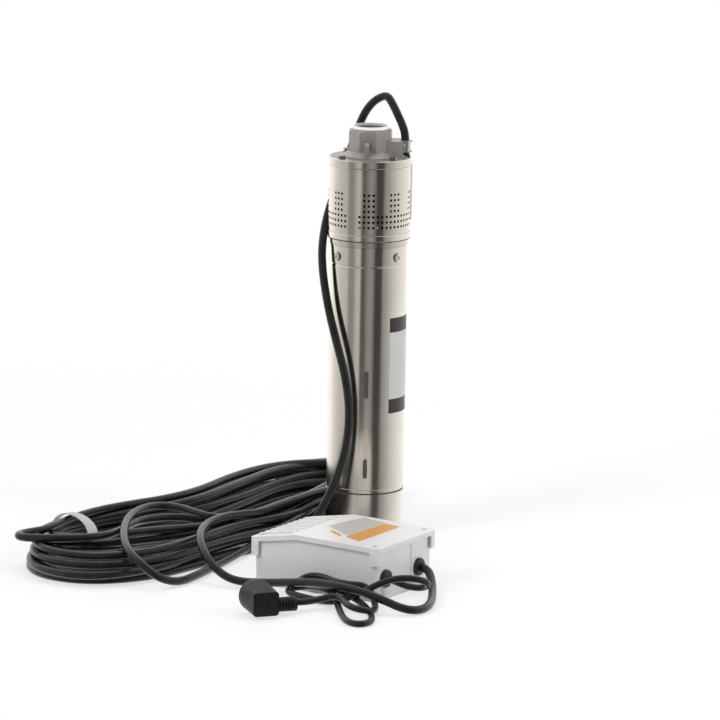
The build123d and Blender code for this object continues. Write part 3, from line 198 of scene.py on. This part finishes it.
def lead_curve(name, route, diameter):
    """An open NURBS curve of order 3 with the route's points, in millimetres, as its control points."""
    data = bpy.data.curves.new(name, "CURVE")
    data.dimensions = "3D"
    spline = data.splines.new("NURBS")
    route = np.asarray(route, float) * MM
    spline.points.add(len(route) - 1)
    spline.points.foreach_set("co", np.column_stack([route, np.ones(len(route))]).ravel())
    spline.order_u = 3
    spline.use_endpoint_u = True
    spline.resolution_u = 8
    data.bevel_depth = diameter / 2
    data.bevel_resolution = 4
    data.use_fill_caps = True
    piece = bpy.data.objects.new(name, data)
    bpy.context.scene.collection.objects.link(piece)
    return piece


def smooth_path(route, steps=8):
    """Points of the quadratic B-spline over a route: (1-t)^2 m0 + 2t(1-t) p + t^2 m1, with m the middles of the runs."""
    p = np.array(route, float)
    middles = (p[:-1] + p[1:]) / 2
    t = np.linspace(0, 1, steps, endpoint=False)[:, None]
    runs = [(1 - t) ** 2 * middles[i] + 2 * t * (1 - t) * p[i + 1] + t**2 * middles[i + 1] for i in range(len(p) - 2)]
    return np.concatenate([p[:1], *runs, middles[-1:], p[-1:]])


def ribbon(name, route, width, thickness):
    """A flat band along a route: corners at +-width/2 across the run in plan and +-thickness/2 along the band's normal."""
    path = smooth_path(route)
    along = np.gradient(path, axis=0)
    along /= np.linalg.norm(along, axis=1)[:, None]
    across = np.cross(along, [0, 0, 1])
    across /= np.linalg.norm(across, axis=1)[:, None]
    normal = np.cross(across, along)
    corners = [(-1, -1), (1, -1), (1, 1), (-1, 1)]
    rings = [path + across * a * width / 2 + normal * b * thickness / 2 for a, b in corners]
    band = surface(name, np.stack(rings, 1) * MM, round_v=True)
    band.data.polygons.foreach_set("use_smooth", np.zeros(len(band.data.polygons), bool))
    return band


def surface(name, points, round_u=False, round_v=False, flip=False):
    """A mesh over a grid of points (u, v, xyz): each cell is one face, and a round direction meets itself."""
    rows, columns = points.shape[:2]
    index = np.arange(rows * columns).reshape(rows, columns)
    u = np.arange(rows if round_u else rows - 1)
    v = np.arange(columns if round_v else columns - 1)
    a = index[u][:, v]
    b = index[(u + 1) % rows][:, v]
    c = index[(u + 1) % rows][:, (v + 1) % columns]
    d = index[u][:, (v + 1) % columns]
    faces = np.stack([a, b, c, d] if not flip else [a, d, c, b], -1).reshape(-1, 4)
    mesh = bpy.data.meshes.new(name)
    mesh.from_pydata(points.reshape(-1, 3), [], faces.tolist())
    mesh.polygons.foreach_set("use_smooth", np.ones(len(faces), bool))
    mesh.update()
    piece = bpy.data.objects.new(name, mesh)
    bpy.context.scene.collection.objects.link(piece)
    return piece


class Look:
    """A material under construction, with short calls for its nodes."""

    def __init__(self, name, colour=(0.8, 0.8, 0.8), roughness=0.5, metallic=0.0, **sockets):
        self.material = bpy.data.materials.new(name)
        self.material.use_nodes = True
        self.tree = self.material.node_tree
        self.shader = self.tree.nodes["Principled BSDF"]
        self.set("Base Color", (*colour, 1.0))
        self.set("Roughness", roughness)
        self.set("Metallic", metallic)
        for key, value in sockets.items():
            self.set(key.replace("_", " ").title().replace("Ior", "IOR"), value)
        self.place = self.node("ShaderNodeTexCoord").outputs["Object"]

    def node(self, kind, **settings):
        made = self.tree.nodes.new(kind)
        for key, value in settings.items():
            setattr(made, key, value)
        return made

    def set(self, socket, value):
        self.shader.inputs[socket].default_value = value

    def link(self, start, end):
        self.tree.links.new(start, end)

    def scaled(self, scale, turn=(0, 0, 0)):
        mapping = self.node("ShaderNodeMapping")
        mapping.inputs["Scale"].default_value = scale
        mapping.inputs["Rotation"].default_value = turn
        self.link(self.place, mapping.inputs["Vector"])
        return mapping.outputs["Vector"]

    def noise(self, scale, detail=3.0, place=None, rough=0.5):
        made = self.node("ShaderNodeTexNoise")
        made.inputs["Scale"].default_value = scale
        made.inputs["Detail"].default_value = detail
        made.inputs["Roughness"].default_value = rough
        self.link(self.place if place is None else place, made.inputs["Vector"])
        return made.outputs["Fac"]

    def ramp(self, factor, stops):
        made = self.node("ShaderNodeValToRGB")
        elements = made.color_ramp.elements
        while len(elements) < len(stops):
            elements.new(0.5)
        for element, (place, colour) in zip(elements, stops):
            element.position = place
            element.color = (*colour, 1.0) if len(colour) == 3 else colour
        self.link(factor, made.inputs["Fac"])
        return made.outputs["Color"]

    def spread(self, factor, low, high):
        made = self.node("ShaderNodeMapRange")
        made.inputs["To Min"].default_value = low
        made.inputs["To Max"].default_value = high
        self.link(factor, made.inputs["Value"])
        return made.outputs["Result"]

    def bump(self, height, strength, distance):
        made = self.node("ShaderNodeBump")
        made.inputs["Strength"].default_value = strength
        made.inputs["Distance"].default_value = distance
        self.link(height, made.inputs["Height"])
        self.link(made.outputs["Normal"], self.shader.inputs["Normal"])

    def vary(self, factor, colour, amount):
        """Colour between colour * (1 - amount) and colour * (1 + amount)."""
        low = tuple(c * (1 - amount) for c in colour)
        high = tuple(min(c * (1 + amount), 1.0) for c in colour)
        self.link(self.ramp(factor, [(0.3, low), (0.7, high)]), self.shader.inputs["Base Color"])


def stainless_look(name, colour, roughness=0.2, streak=(60, 60, 900), dull=0.0):
    """Rolled stainless sheet: fine streaks round the shell, faint clouds, and a duller lower end below a height of 0.25 m."""
    look = Look(name, colour, roughness, 1.0)
    clouds = look.noise(22, 4)
    streaks = look.noise(1.0, 2, look.scaled(streak))
    look.vary(clouds, colour, 0.05)
    split = look.node("ShaderNodeSeparateXYZ")
    look.link(look.place, split.inputs[0])
    worn = look.node("ShaderNodeMapRange")
    for key, value in (("From Min", 0.25), ("From Max", 0.04), ("To Min", 0.0), ("To Max", dull)):
        worn.inputs[key].default_value = value
    look.link(split.outputs["Z"], worn.inputs["Value"])
    both = look.node("ShaderNodeMath", operation="ADD")
    look.link(look.spread(streaks, roughness - 0.04, roughness + 0.06), both.inputs[0])
    look.link(worn.outputs[0], both.inputs[1])
    look.link(both.outputs[0], look.shader.inputs["Roughness"])
    look.bump(streaks, 0.03, 0.0002)
    return look.material


def head_look(name, colour, rim, roughness=0.42):
    """The cast head: satin grain below, and the turned ring at the top in a brighter tone above a height of 486.2 mm,
    partly bare turned metal and partly a painted highlight of the light falling on it.
    """
    look = Look(name, colour, roughness, 0.6)
    split = look.node("ShaderNodeSeparateXYZ")
    look.link(look.place, split.inputs[0])
    above = look.node("ShaderNodeMath", operation="GREATER_THAN")
    above.inputs[1].default_value = 0.4862
    look.link(split.outputs["Z"], above.inputs[0])
    clouds = look.ramp(look.noise(45, 4), [(0.3, tuple(c * 0.88 for c in colour)), (0.7, tuple(c * 1.12 for c in colour))])
    mix = look.node("ShaderNodeMix", data_type="RGBA")
    look.link(above.outputs[0], mix.inputs["Factor"])
    look.link(clouds, mix.inputs[6])
    # The ring's near-white tone: partly bare turned metal, partly painted highlight.
    mix.inputs[7].default_value = (*rim, 1)
    look.link(mix.outputs[2], look.shader.inputs["Base Color"])
    look.link(look.spread(above.outputs[0], roughness, 0.22), look.shader.inputs["Roughness"])
    look.link(look.spread(above.outputs[0], 0.6, 0.15), look.shader.inputs["Metallic"])
    look.bump(look.noise(900, 3), 0.2, 0.0003)
    return look.material


def plate_look(name, pale, dark, low, high):
    """A printed foil without any lettering: pale, with a dark field below one height and above another, in metres."""
    look = Look(name, pale, 0.35)
    split = look.node("ShaderNodeSeparateXYZ")
    look.link(look.place, split.inputs[0])
    fields = []
    for edge, kind in ((low, "LESS_THAN"), (high, "GREATER_THAN")):
        field = look.node("ShaderNodeMath", operation=kind)
        field.inputs[1].default_value = edge
        look.link(split.outputs["Z"], field.inputs[0])
        fields.append(field.outputs[0])
    either = look.node("ShaderNodeMath", operation="MAXIMUM")
    look.link(fields[0], either.inputs[0])
    look.link(fields[1], either.inputs[1])
    mix = look.node("ShaderNodeMix", data_type="RGBA")
    look.link(either.outputs[0], mix.inputs["Factor"])
    mix.inputs[6].default_value = (*pale, 1)
    mix.inputs[7].default_value = (*dark, 1)
    look.link(mix.outputs[2], look.shader.inputs["Base Color"])
    return look.material


def cast_look(name, colour, roughness=0.5, grain=900):
    """Cast metal with a fine sand grain and soft stains."""
    look = Look(name, colour, roughness, 0.75)
    look.vary(look.noise(45, 4), colour, 0.14)
    grains = look.noise(grain, 3)
    look.link(look.spread(grains, roughness - 0.1, roughness + 0.12), look.shader.inputs["Roughness"])
    look.bump(grains, 0.25, 0.0004)
    return look.material


def machined_look(name, colour, roughness=0.3):
    """Turned metal: fine rings seen as streaks, with small tone changes."""
    look = Look(name, colour, roughness, 1.0)
    look.vary(look.noise(60, 3), colour, 0.06)
    rings = look.noise(1.0, 2, look.scaled((30, 30, 2500)))
    look.link(look.spread(rings, roughness - 0.08, roughness + 0.1), look.shader.inputs["Roughness"])
    look.bump(rings, 0.1, 0.0002)
    return look.material


def plastic_look(name, colour, roughness=0.4, grain=1500, coat=0.0):
    """Moulded plastic with a fine spark grain."""
    look = Look(name, colour, roughness, 0.0, coat_weight=coat, coat_roughness=0.2)
    look.vary(look.noise(18, 2), colour, 0.02)
    grains = look.noise(grain, 2)
    look.link(look.spread(grains, roughness - 0.05, roughness + 0.08), look.shader.inputs["Roughness"])
    look.bump(grains, 0.12, 0.0002)
    return look.material


def rubber_look(name, colour, roughness=0.42):
    """Extruded rubber jacket: smooth, faintly dusty, with long soft marks."""
    look = Look(name, colour, roughness, 0.0, specular_ior_level=0.5)
    dust = look.noise(55, 4)
    low = tuple(c * 0.7 for c in colour)
    high = tuple(c * 1.6 + 0.002 for c in colour)
    look.link(look.ramp(dust, [(0.35, low), (0.85, high)]), look.shader.inputs["Base Color"])
    look.link(look.spread(look.noise(320, 3), roughness - 0.1, roughness + 0.12), look.shader.inputs["Roughness"])
    look.bump(look.noise(700, 2), 0.08, 0.0002)
    return look.material


def give(names, material):
    """Puts one material on every slot of the CAD nodes."""
    for name in names:
        data = NODES[name].data
        data.materials.clear()
        data.materials.append(material)


class PUMP_OT_metal_finishes(bpy.types.Operator):
    """Gives the stainless, cast and machined parts their finishes"""
    bl_idname = "pump.metal_finishes"
    bl_label = "Metal finishes"

    def execute(self, context):
        metals = context.scene.pump_metals
        steel = tuple(metals.stainless)
        give(["motor_tube", "base_cup"], stainless_look("Tube stainless", steel, 0.12, dull=0.08))
        give(["strainer_sleeve", "rim_band", "cable_guard"], stainless_look("Sleeve stainless", tuple(c * 0.98 for c in steel), 0.15))
        give(["sleeve_ring"], stainless_look("Ring bright", tuple(min(c * 1.05, 0.95) for c in steel), 0.12))
        give(["slot_welds"], cast_look("Weld bead", (0.20, 0.17, 0.14), 0.5, 600))
        give(["cable_clamp", "capacitor_clip"], machined_look("Pressed steel", (0.82, 0.80, 0.76), 0.3))
        # The head's top ring is near white: partly bare turned metal, partly painted highlight.
        give(["outlet_head"], head_look("Cast head", tuple(metals.cast), (0.86, 0.85, 0.82), 0.42))
        give(["head_bolts"], machined_look("Bolt steel", (0.40, 0.38, 0.35), 0.35))
        give(["clamp_screws", "tube_screws", "casing_screws", "terminal_screws"],
             machined_look("Screw steel", (0.80, 0.78, 0.74), 0.25))
        give(["upper_bracket"], stainless_look("Bracket turned", tuple(c * 0.88 for c in steel), 0.2))
        give(["lower_bracket"], cast_look("Bracket cast", (0.50, 0.50, 0.49), 0.36))
        give(["impeller", "cable_entry_nut", "oil_plug", "plug_pins"], machined_look("Brass", (0.66, 0.50, 0.23), 0.3))
        give(["pump_casing", "suction_cover"], cast_look("Casing cast", (0.05, 0.048, 0.045), 0.6))
        give(["shaft", "impeller_key", "impeller_ring", "upper_bearing_outer", "upper_bearing_inner", "upper_bearing_balls",
              "lower_bearing_outer", "lower_bearing_inner", "lower_bearing_balls"], machined_look("Ground steel", (0.6, 0.6, 0.6), 0.18))
        give(["rotor_core", "stator_core"], machined_look("Lamination steel", (0.32, 0.33, 0.35), 0.45))
        give(["rotor_end_rings"], cast_look("Cage aluminium", (0.7, 0.71, 0.72), 0.4))
        give(["stator_windings"], machined_look("Winding copper", (0.60, 0.24, 0.10), 0.35))
        return {"FINISHED"}


class PUMP_OT_plastic_finishes(bpy.types.Operator):
    """Gives the box, seals and fittings their plastic and rubber finishes"""
    bl_idname = "pump.plastic_finishes"
    bl_label = "Plastic finishes"

    def execute(self, context):
        white = tuple(context.scene.pump_plastics.white)
        give(["box_base", "box_lid"], plastic_look("Box white", white, 0.34))
        give(["gland_nuts"], plastic_look("Nut white", white, 0.4))
        give(["lid_screws"], plastic_look("Screw zinc", tuple(c * 0.8 for c in white), 0.3))
        give(["gland_bodies"], plastic_look("Bushing black", (0.02, 0.02, 0.022), 0.4))
        give(["run_capacitor", "terminal_block"], plastic_look("Inner grey", (0.36, 0.37, 0.37), 0.45))
        give(["thermal_protector"], plastic_look("Inner black", (0.03, 0.03, 0.03), 0.45))
        give(["head_gasket", "bracket_seal_rings", "box_gasket"], rubber_look("Gasket rubber", (0.03, 0.03, 0.03), 0.6))
        give(["seal_head", "pressure_diaphragm", "cable_entry_seal"], rubber_look("Seal rubber", (0.02, 0.02, 0.02), 0.55))
        give(["seal_seat"], plastic_look("Seal ceramic", (0.82, 0.8, 0.74), 0.2))
        give(["plug_body"], rubber_look("Plug rubber", (0.009, 0.009, 0.009), 0.5))
        give(["hank_tie"], plastic_look("Tie", (0.03, 0.03, 0.03), 0.3))
        return {"FINISHED"}


def in_box(points):
    """Points of the control box's own frame, in millimetres: turned about the vertical, then moved to the box's place."""
    points = np.asarray(points, float)
    c, s = math.cos(BOX_TURN), math.sin(BOX_TURN)
    x = BOX_MIDDLE[0] + points[..., 0] * c - points[..., 1] * s
    y = BOX_MIDDLE[1] + points[..., 0] * s + points[..., 1] * c
    return np.stack([x, y, points[..., 2]], -1)


def foil(name, corners, lift=0.12):
    """A flat foil over a four-cornered field of the lid's near slope: the corners, raised a little, joined bilinearly.

    The slope's height is 62.5 + 2.5 * (y + 85.5) / 109.5 in the box's frame.
    """
    a, b, c, d = (np.array(corner, float) for corner in corners)
    u, v = np.meshgrid(np.linspace(0, 1, 9), np.linspace(0, 1, 9), indexing="ij")
    u, v = u[..., None], v[..., None]
    flat = a * (1 - u) * (1 - v) + b * u * (1 - v) + c * u * v + d * (1 - u) * v
    top = 62.5 + 2.5 * (flat[..., 1:] + 85.5) / 109.5
    return surface(name, in_box(np.concatenate([flat, top + lift], -1)) * MM)


class PUMP_OT_plates(bpy.types.Operator):
    """Bends the bare plate round the tube and lays the bare foils on the lid"""
    bl_idname = "pump.plates"
    bl_label = "Plates"

    def execute(self, context):
        plates = context.scene.pump_plates
        angle = np.radians(np.linspace(plates.start, plates.end, 40))
        radius = np.array([45.76, 45.96, 45.96, 45.76])
        z = np.array([plates.low, plates.low, plates.high, plates.high])
        points = np.stack([np.outer(np.sin(angle), radius), -np.outer(np.cos(angle), radius), np.tile(z, (len(angle), 1))], -1)
        plate = surface("tube_plate", points * MM, round_v=True)
        plate.data.polygons.foreach_set("use_smooth", np.zeros(len(plate.data.polygons), bool))
        band = (plates.high - plates.low) * 0.15
        plate.data.materials.append(plate_look("Tube plate", (0.56, 0.56, 0.54), (0.03, 0.027, 0.025),
                                               (plates.low + band) * MM, (plates.high - band) * MM))
        fields = [
            ("lid_foil", [(-44, -48), (47, -47), (58, 8), (-3, 19)], 0.10, (0.47, 0.46, 0.42)),
            ("lid_foil_band", [(-44, -48), (46.5, -47.2), (44.5, -27), (-35.5, -25)], 0.16, tuple(context.scene.pump_plastics.field)),
            ("lid_foil_corner", [(-37, -17), (-31, -17), (-18, 3), (-24, 3)], 0.16, tuple(context.scene.pump_plastics.field)),
        ]
        pieces = [plate]
        for name, corners, lift, colour in fields:
            piece = foil(name, corners, lift)
            piece.data.materials.append(plastic_look(name, colour, 0.35, 400))
            pieces.append(piece)
        for piece in pieces:
            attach(piece, "pump")
        return {"FINISHED"}


class PUMP_OT_seams(bpy.types.Operator):
    """Draws dark rings of painted shade in the joint gaps round the shell and round the four tube screws"""
    bl_idname = "pump.seams"
    bl_label = "Seams"

    def execute(self, context):
        # A near-black material that paints the shade in the joint gaps and round the screw heads.
        dark = plastic_look("Joint gap shade", (0.03, 0.027, 0.024), 0.6)
        turn = np.linspace(0, 2 * math.pi, 144, endpoint=False)
        for number, (radius, low, high) in enumerate(SEAM_SHADES):
            profile = np.array([(radius - 0.1, low), (radius + 0.03, low), (radius + 0.03, high), (radius - 0.1, high)])
            points = np.stack([np.outer(np.sin(turn), profile[:, 0]), -np.outer(np.cos(turn), profile[:, 0]),
                               np.tile(profile[:, 1], (len(turn), 1))], -1)
            self.place(surface(f"seam_{number}", points * MM, True, True), dark)
        # Round each tube screw head, a dark ring of painted shade.
        for number, angle in enumerate(SCREW_ANGLES):
            # a ring (r cos t, r sin t) wrapped on the tube: angle + across / radius, height
            t = np.linspace(0, 2 * math.pi, 48, endpoint=False)[:, None]
            rim = np.array([4.5, 5.3])[None, :]
            round_tube = math.radians(angle) + rim * np.cos(t) / 45.8
            points = np.stack([45.8 * np.sin(round_tube), -45.8 * np.cos(round_tube), 337.5 + rim * np.sin(t)], -1)
            self.place(surface(f"screw_shade_ring_{number}", points * MM, True, flip=True), dark)
        return {"FINISHED"}

    def place(self, piece, material):
        piece.data.materials.append(material)
        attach(piece, "pump")


class PUMP_OT_pump_lead(bpy.types.Operator):
    """Lays the pump lead: up the side, over the outlet, round the coil and into the box"""
    bl_idname = "pump.pump_lead"
    bl_label = "Pump lead"

    def execute(self, context):
        leads = context.scene.pump_leads
        route = np.concatenate([np.array(LEAD_DROP), coil_points(), np.array(LEAD_FRONT)])
        lead = lead_curve("pump_lead", route, leads.pump_lead)
        lead.data.materials.append(rubber_look("Pump lead jacket", tuple(leads.jacket), 0.29))
        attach(lead, "pump")
        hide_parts("pump_lead_drop", "pump_lead_coil", "pump_lead_front")
        strap = ribbon("strap", STRAP, 12.0, 1.0)
        strap.data.materials.append(plastic_look("Strap", (0.34, 0.34, 0.32), 0.3))
        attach(strap, "pump")
        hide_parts("coil_strap")
        return {"FINISHED"}


class PUMP_OT_mains_lead(bpy.types.Operator):
    """Lays the mains lead from the box through its tied hank to the plug"""
    bl_idname = "pump.mains_lead"
    bl_label = "Mains lead"

    def execute(self, context):
        leads = context.scene.pump_leads
        lead = lead_curve("mains_lead", MAINS_ROUTE, leads.mains_lead)
        lead.data.materials.append(rubber_look("Mains lead jacket", tuple(leads.jacket), 0.32))
        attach(lead, "pump")
        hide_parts("mains_lead_loop", "mains_lead_hank", "mains_lead_tail")
        return {"FINISHED"}


# Tones of the studio's walls, by the angle from the camera's side towards +X: soft boxes with dark edges between them
STUDIO_WALLS = [
    (-180, 1.1), (-135, 1.05), (-110, 0.72), (-88, 0.55), (-66, 0.50), (-58, 0.24), (-44, 0.26), (-36, 0.46), (-25, 0.52), (-20, 0.08),
    (-12, 0.10), (-5, 0.21), (6, 0.28), (15, 0.22), (21, 0.05), (40, 0.06), (45, 0.27), (62, 0.40), (80, 0.60), (108, 0.80),
    (135, 0.95), (180, 1.1),
]


class PUMP_OT_studio(bpy.types.Operator):
    """Sets the floor, the soft lamps, the world and the camera"""
    bl_idname = "pump.studio"
    bl_label = "Studio"

    def execute(self, context):
        scene = context.scene
        studio = scene.pump_studio
        s = np.array([-1.0, 1.0])
        points = np.stack(np.meshgrid(s * 14, s * 14, indexing="ij") + [np.zeros((2, 2))], -1)
        floor = surface("floor", points)
        look = Look("Pale floor", tuple(studio.floor), 0.75)
        light = look.node("ShaderNodeLightPath")
        glow = look.node("ShaderNodeEmission")
        glow.inputs["Color"].default_value = (1, 1, 1, 1)
        both = look.node("ShaderNodeMixShader")
        reach = look.node("ShaderNodeVectorMath", operation="LENGTH")
        look.link(look.place, reach.inputs[0])
        fade = look.node("ShaderNodeMapRange")
        for key, value in (("From Min", 0.35), ("From Max", 1.3), ("To Min", 0.6), ("To Max", 1.0)):
            fade.inputs[key].default_value = value
        look.link(reach.outputs["Value"], fade.inputs["Value"])
        share = look.node("ShaderNodeMath", operation="MULTIPLY")
        look.link(fade.outputs[0], share.inputs[1])
        look.link(light.outputs["Is Camera Ray"], share.inputs[0])
        look.link(share.outputs[0], both.inputs["Fac"])
        look.link(look.shader.outputs[0], both.inputs[1])
        look.link(glow.outputs[0], both.inputs[2])
        out = look.tree.nodes["Material Output"]
        look.link(both.outputs[0], out.inputs["Surface"])
        floor.data.materials.append(look.material)
        floor.visible_glossy = False

        world = bpy.data.worlds.new("Pale studio")
        world.use_nodes = True
        tree = world.node_tree
        ground = tree.nodes["Background"]
        ground.inputs["Color"].default_value = (0.82, 0.815, 0.81, 1)
        ground.inputs["Strength"].default_value = 0.45
        white = tree.nodes.new("ShaderNodeBackground")
        white.inputs["Color"].default_value = (1, 1, 1, 1)
        walls = tree.nodes.new("ShaderNodeBackground")
        split = tree.nodes.new("ShaderNodeSeparateXYZ")
        tree.links.new(tree.nodes.new("ShaderNodeTexCoord").outputs["Generated"], split.inputs[0])
        ahead = tree.nodes.new("ShaderNodeMath")
        ahead.operation = "MULTIPLY"
        ahead.inputs[1].default_value = -1
        tree.links.new(split.outputs["Y"], ahead.inputs[0])
        turn = tree.nodes.new("ShaderNodeMath")
        turn.operation = "ARCTAN2"
        tree.links.new(split.outputs["X"], turn.inputs[0])
        tree.links.new(ahead.outputs[0], turn.inputs[1])
        share = tree.nodes.new("ShaderNodeMapRange")
        share.inputs["From Min"].default_value = -math.pi
        share.inputs["From Max"].default_value = math.pi
        tree.links.new(turn.outputs[0], share.inputs["Value"])
        ramp = tree.nodes.new("ShaderNodeValToRGB")
        elements = ramp.color_ramp.elements
        while len(elements) < len(STUDIO_WALLS):
            elements.new(0.5)
        for element, (angle, tone) in zip(elements, STUDIO_WALLS):
            element.position = (angle + 180) / 360
            element.color = (tone, tone, tone, 1)
        tree.links.new(share.outputs[0], ramp.inputs["Fac"])
        tree.links.new(ramp.outputs["Color"], walls.inputs["Color"])
        path = tree.nodes.new("ShaderNodeLightPath")
        inner = tree.nodes.new("ShaderNodeMixShader")
        tree.links.new(path.outputs["Is Glossy Ray"], inner.inputs["Fac"])
        tree.links.new(ground.outputs[0], inner.inputs[1])
        tree.links.new(walls.outputs[0], inner.inputs[2])
        mix = tree.nodes.new("ShaderNodeMixShader")
        tree.links.new(path.outputs["Is Camera Ray"], mix.inputs["Fac"])
        tree.links.new(inner.outputs[0], mix.inputs[1])
        tree.links.new(white.outputs[0], mix.inputs[2])
        tree.links.new(mix.outputs[0], tree.nodes["World Output"].inputs["Surface"])
        scene.world = world

        lamps = [
            ("key_lamp", (-2.2, -2.0, 2.4), (1.2, 2.2), 62),
            ("side_lamp", (2.6, -1.2, 1.6), (0.9, 2.2), 36),
            ("top_lamp", (0.2, 0.6, 3.4), (2.6, 2.6), 46),
            ("back_lamp", (0.6, 3.2, 1.8), (3.0, 2.0), 30),
        ]
        for name, place, size, power in lamps:
            data = bpy.data.lights.new(name, "AREA")
            data.shape = "RECTANGLE"
            data.size, data.size_y = size
            data.energy = power
            lamp = bpy.data.objects.new(name, data)
            lamp.location = place
            aim = Matrix.Translation((0, 0, 0.25)).translation - lamp.location
            lamp.rotation_euler = aim.to_track_quat("-Z", "Y").to_euler()
            lamp.visible_camera = False
            lamp.visible_glossy = False
            scene.collection.objects.link(lamp)

        yaw, pitch, roll = (math.radians(a) for a in (-0.0759, 11.0012, 0.9783))
        ahead = np.array([math.sin(yaw) * math.cos(pitch), math.cos(yaw) * math.cos(pitch), -math.sin(pitch)])
        right = np.cross(ahead, [0, 0, 1])
        right /= np.linalg.norm(right)
        up = np.cross(right, ahead)
        across = right * math.cos(roll) + up * math.sin(roll)
        upright = -right * math.sin(roll) + up * math.cos(roll)
        data = bpy.data.cameras.new("camera")
        data.lens = studio.lens
        data.clip_start = 0.1
        data.clip_end = 100
        camera = bpy.data.objects.new("camera", data)
        turn = Matrix(np.column_stack([across, upright, -ahead]).tolist()).to_4x4()
        camera.matrix_world = Matrix.Translation((0, -6.0, 1.375)) @ turn
        scene.collection.objects.link(camera)
        scene.camera = camera
        scene.view_settings.view_transform = "Standard"
        return {"FINISHED"}


class PUMP_PT_panel(bpy.types.Panel):
    """Lists the pump's pieces in the sidebar"""
    bl_idname = "PUMP_PT_panel"
    bl_label = "Pump"
    bl_space_type = "VIEW_3D"
    bl_region_type = "UI"
    bl_category = "Pump"

    def draw(self, context):
        for operator in OPERATORS:
            self.layout.operator(operator.bl_idname)


OPERATORS = [
    PUMP_OT_studio, PUMP_OT_plates, PUMP_OT_seams, PUMP_OT_pump_lead, PUMP_OT_mains_lead, PUMP_OT_metal_finishes, PUMP_OT_plastic_finishes,
]
GROUPS = {"pump_leads": Leads, "pump_metals": Metals, "pump_plastics": Plastics, "pump_plates": Plates, "pump_studio": Studio}


def register():
    for group in GROUPS.values():
        bpy.utils.register_class(group)
    for name, group in GROUPS.items():
        setattr(bpy.types.Scene, name, bpy.props.PointerProperty(type=group))
    for kind in [*OPERATORS, PUMP_PT_panel]:
        bpy.utils.register_class(kind)


def unregister():
    for kind in reversed([*OPERATORS, PUMP_PT_panel]):
        bpy.utils.unregister_class(kind)
    for name, group in reversed(GROUPS.items()):
        delattr(bpy.types.Scene, name)
        bpy.utils.unregister_class(group)


def main():
    """Makes every piece in order."""
    register()
    for operator in OPERATORS:
        area, name = operator.bl_idname.split(".")
        getattr(getattr(bpy.ops, area), name)()
    bpy.context.view_layer.update()


if __name__ == "__main__":
    main()
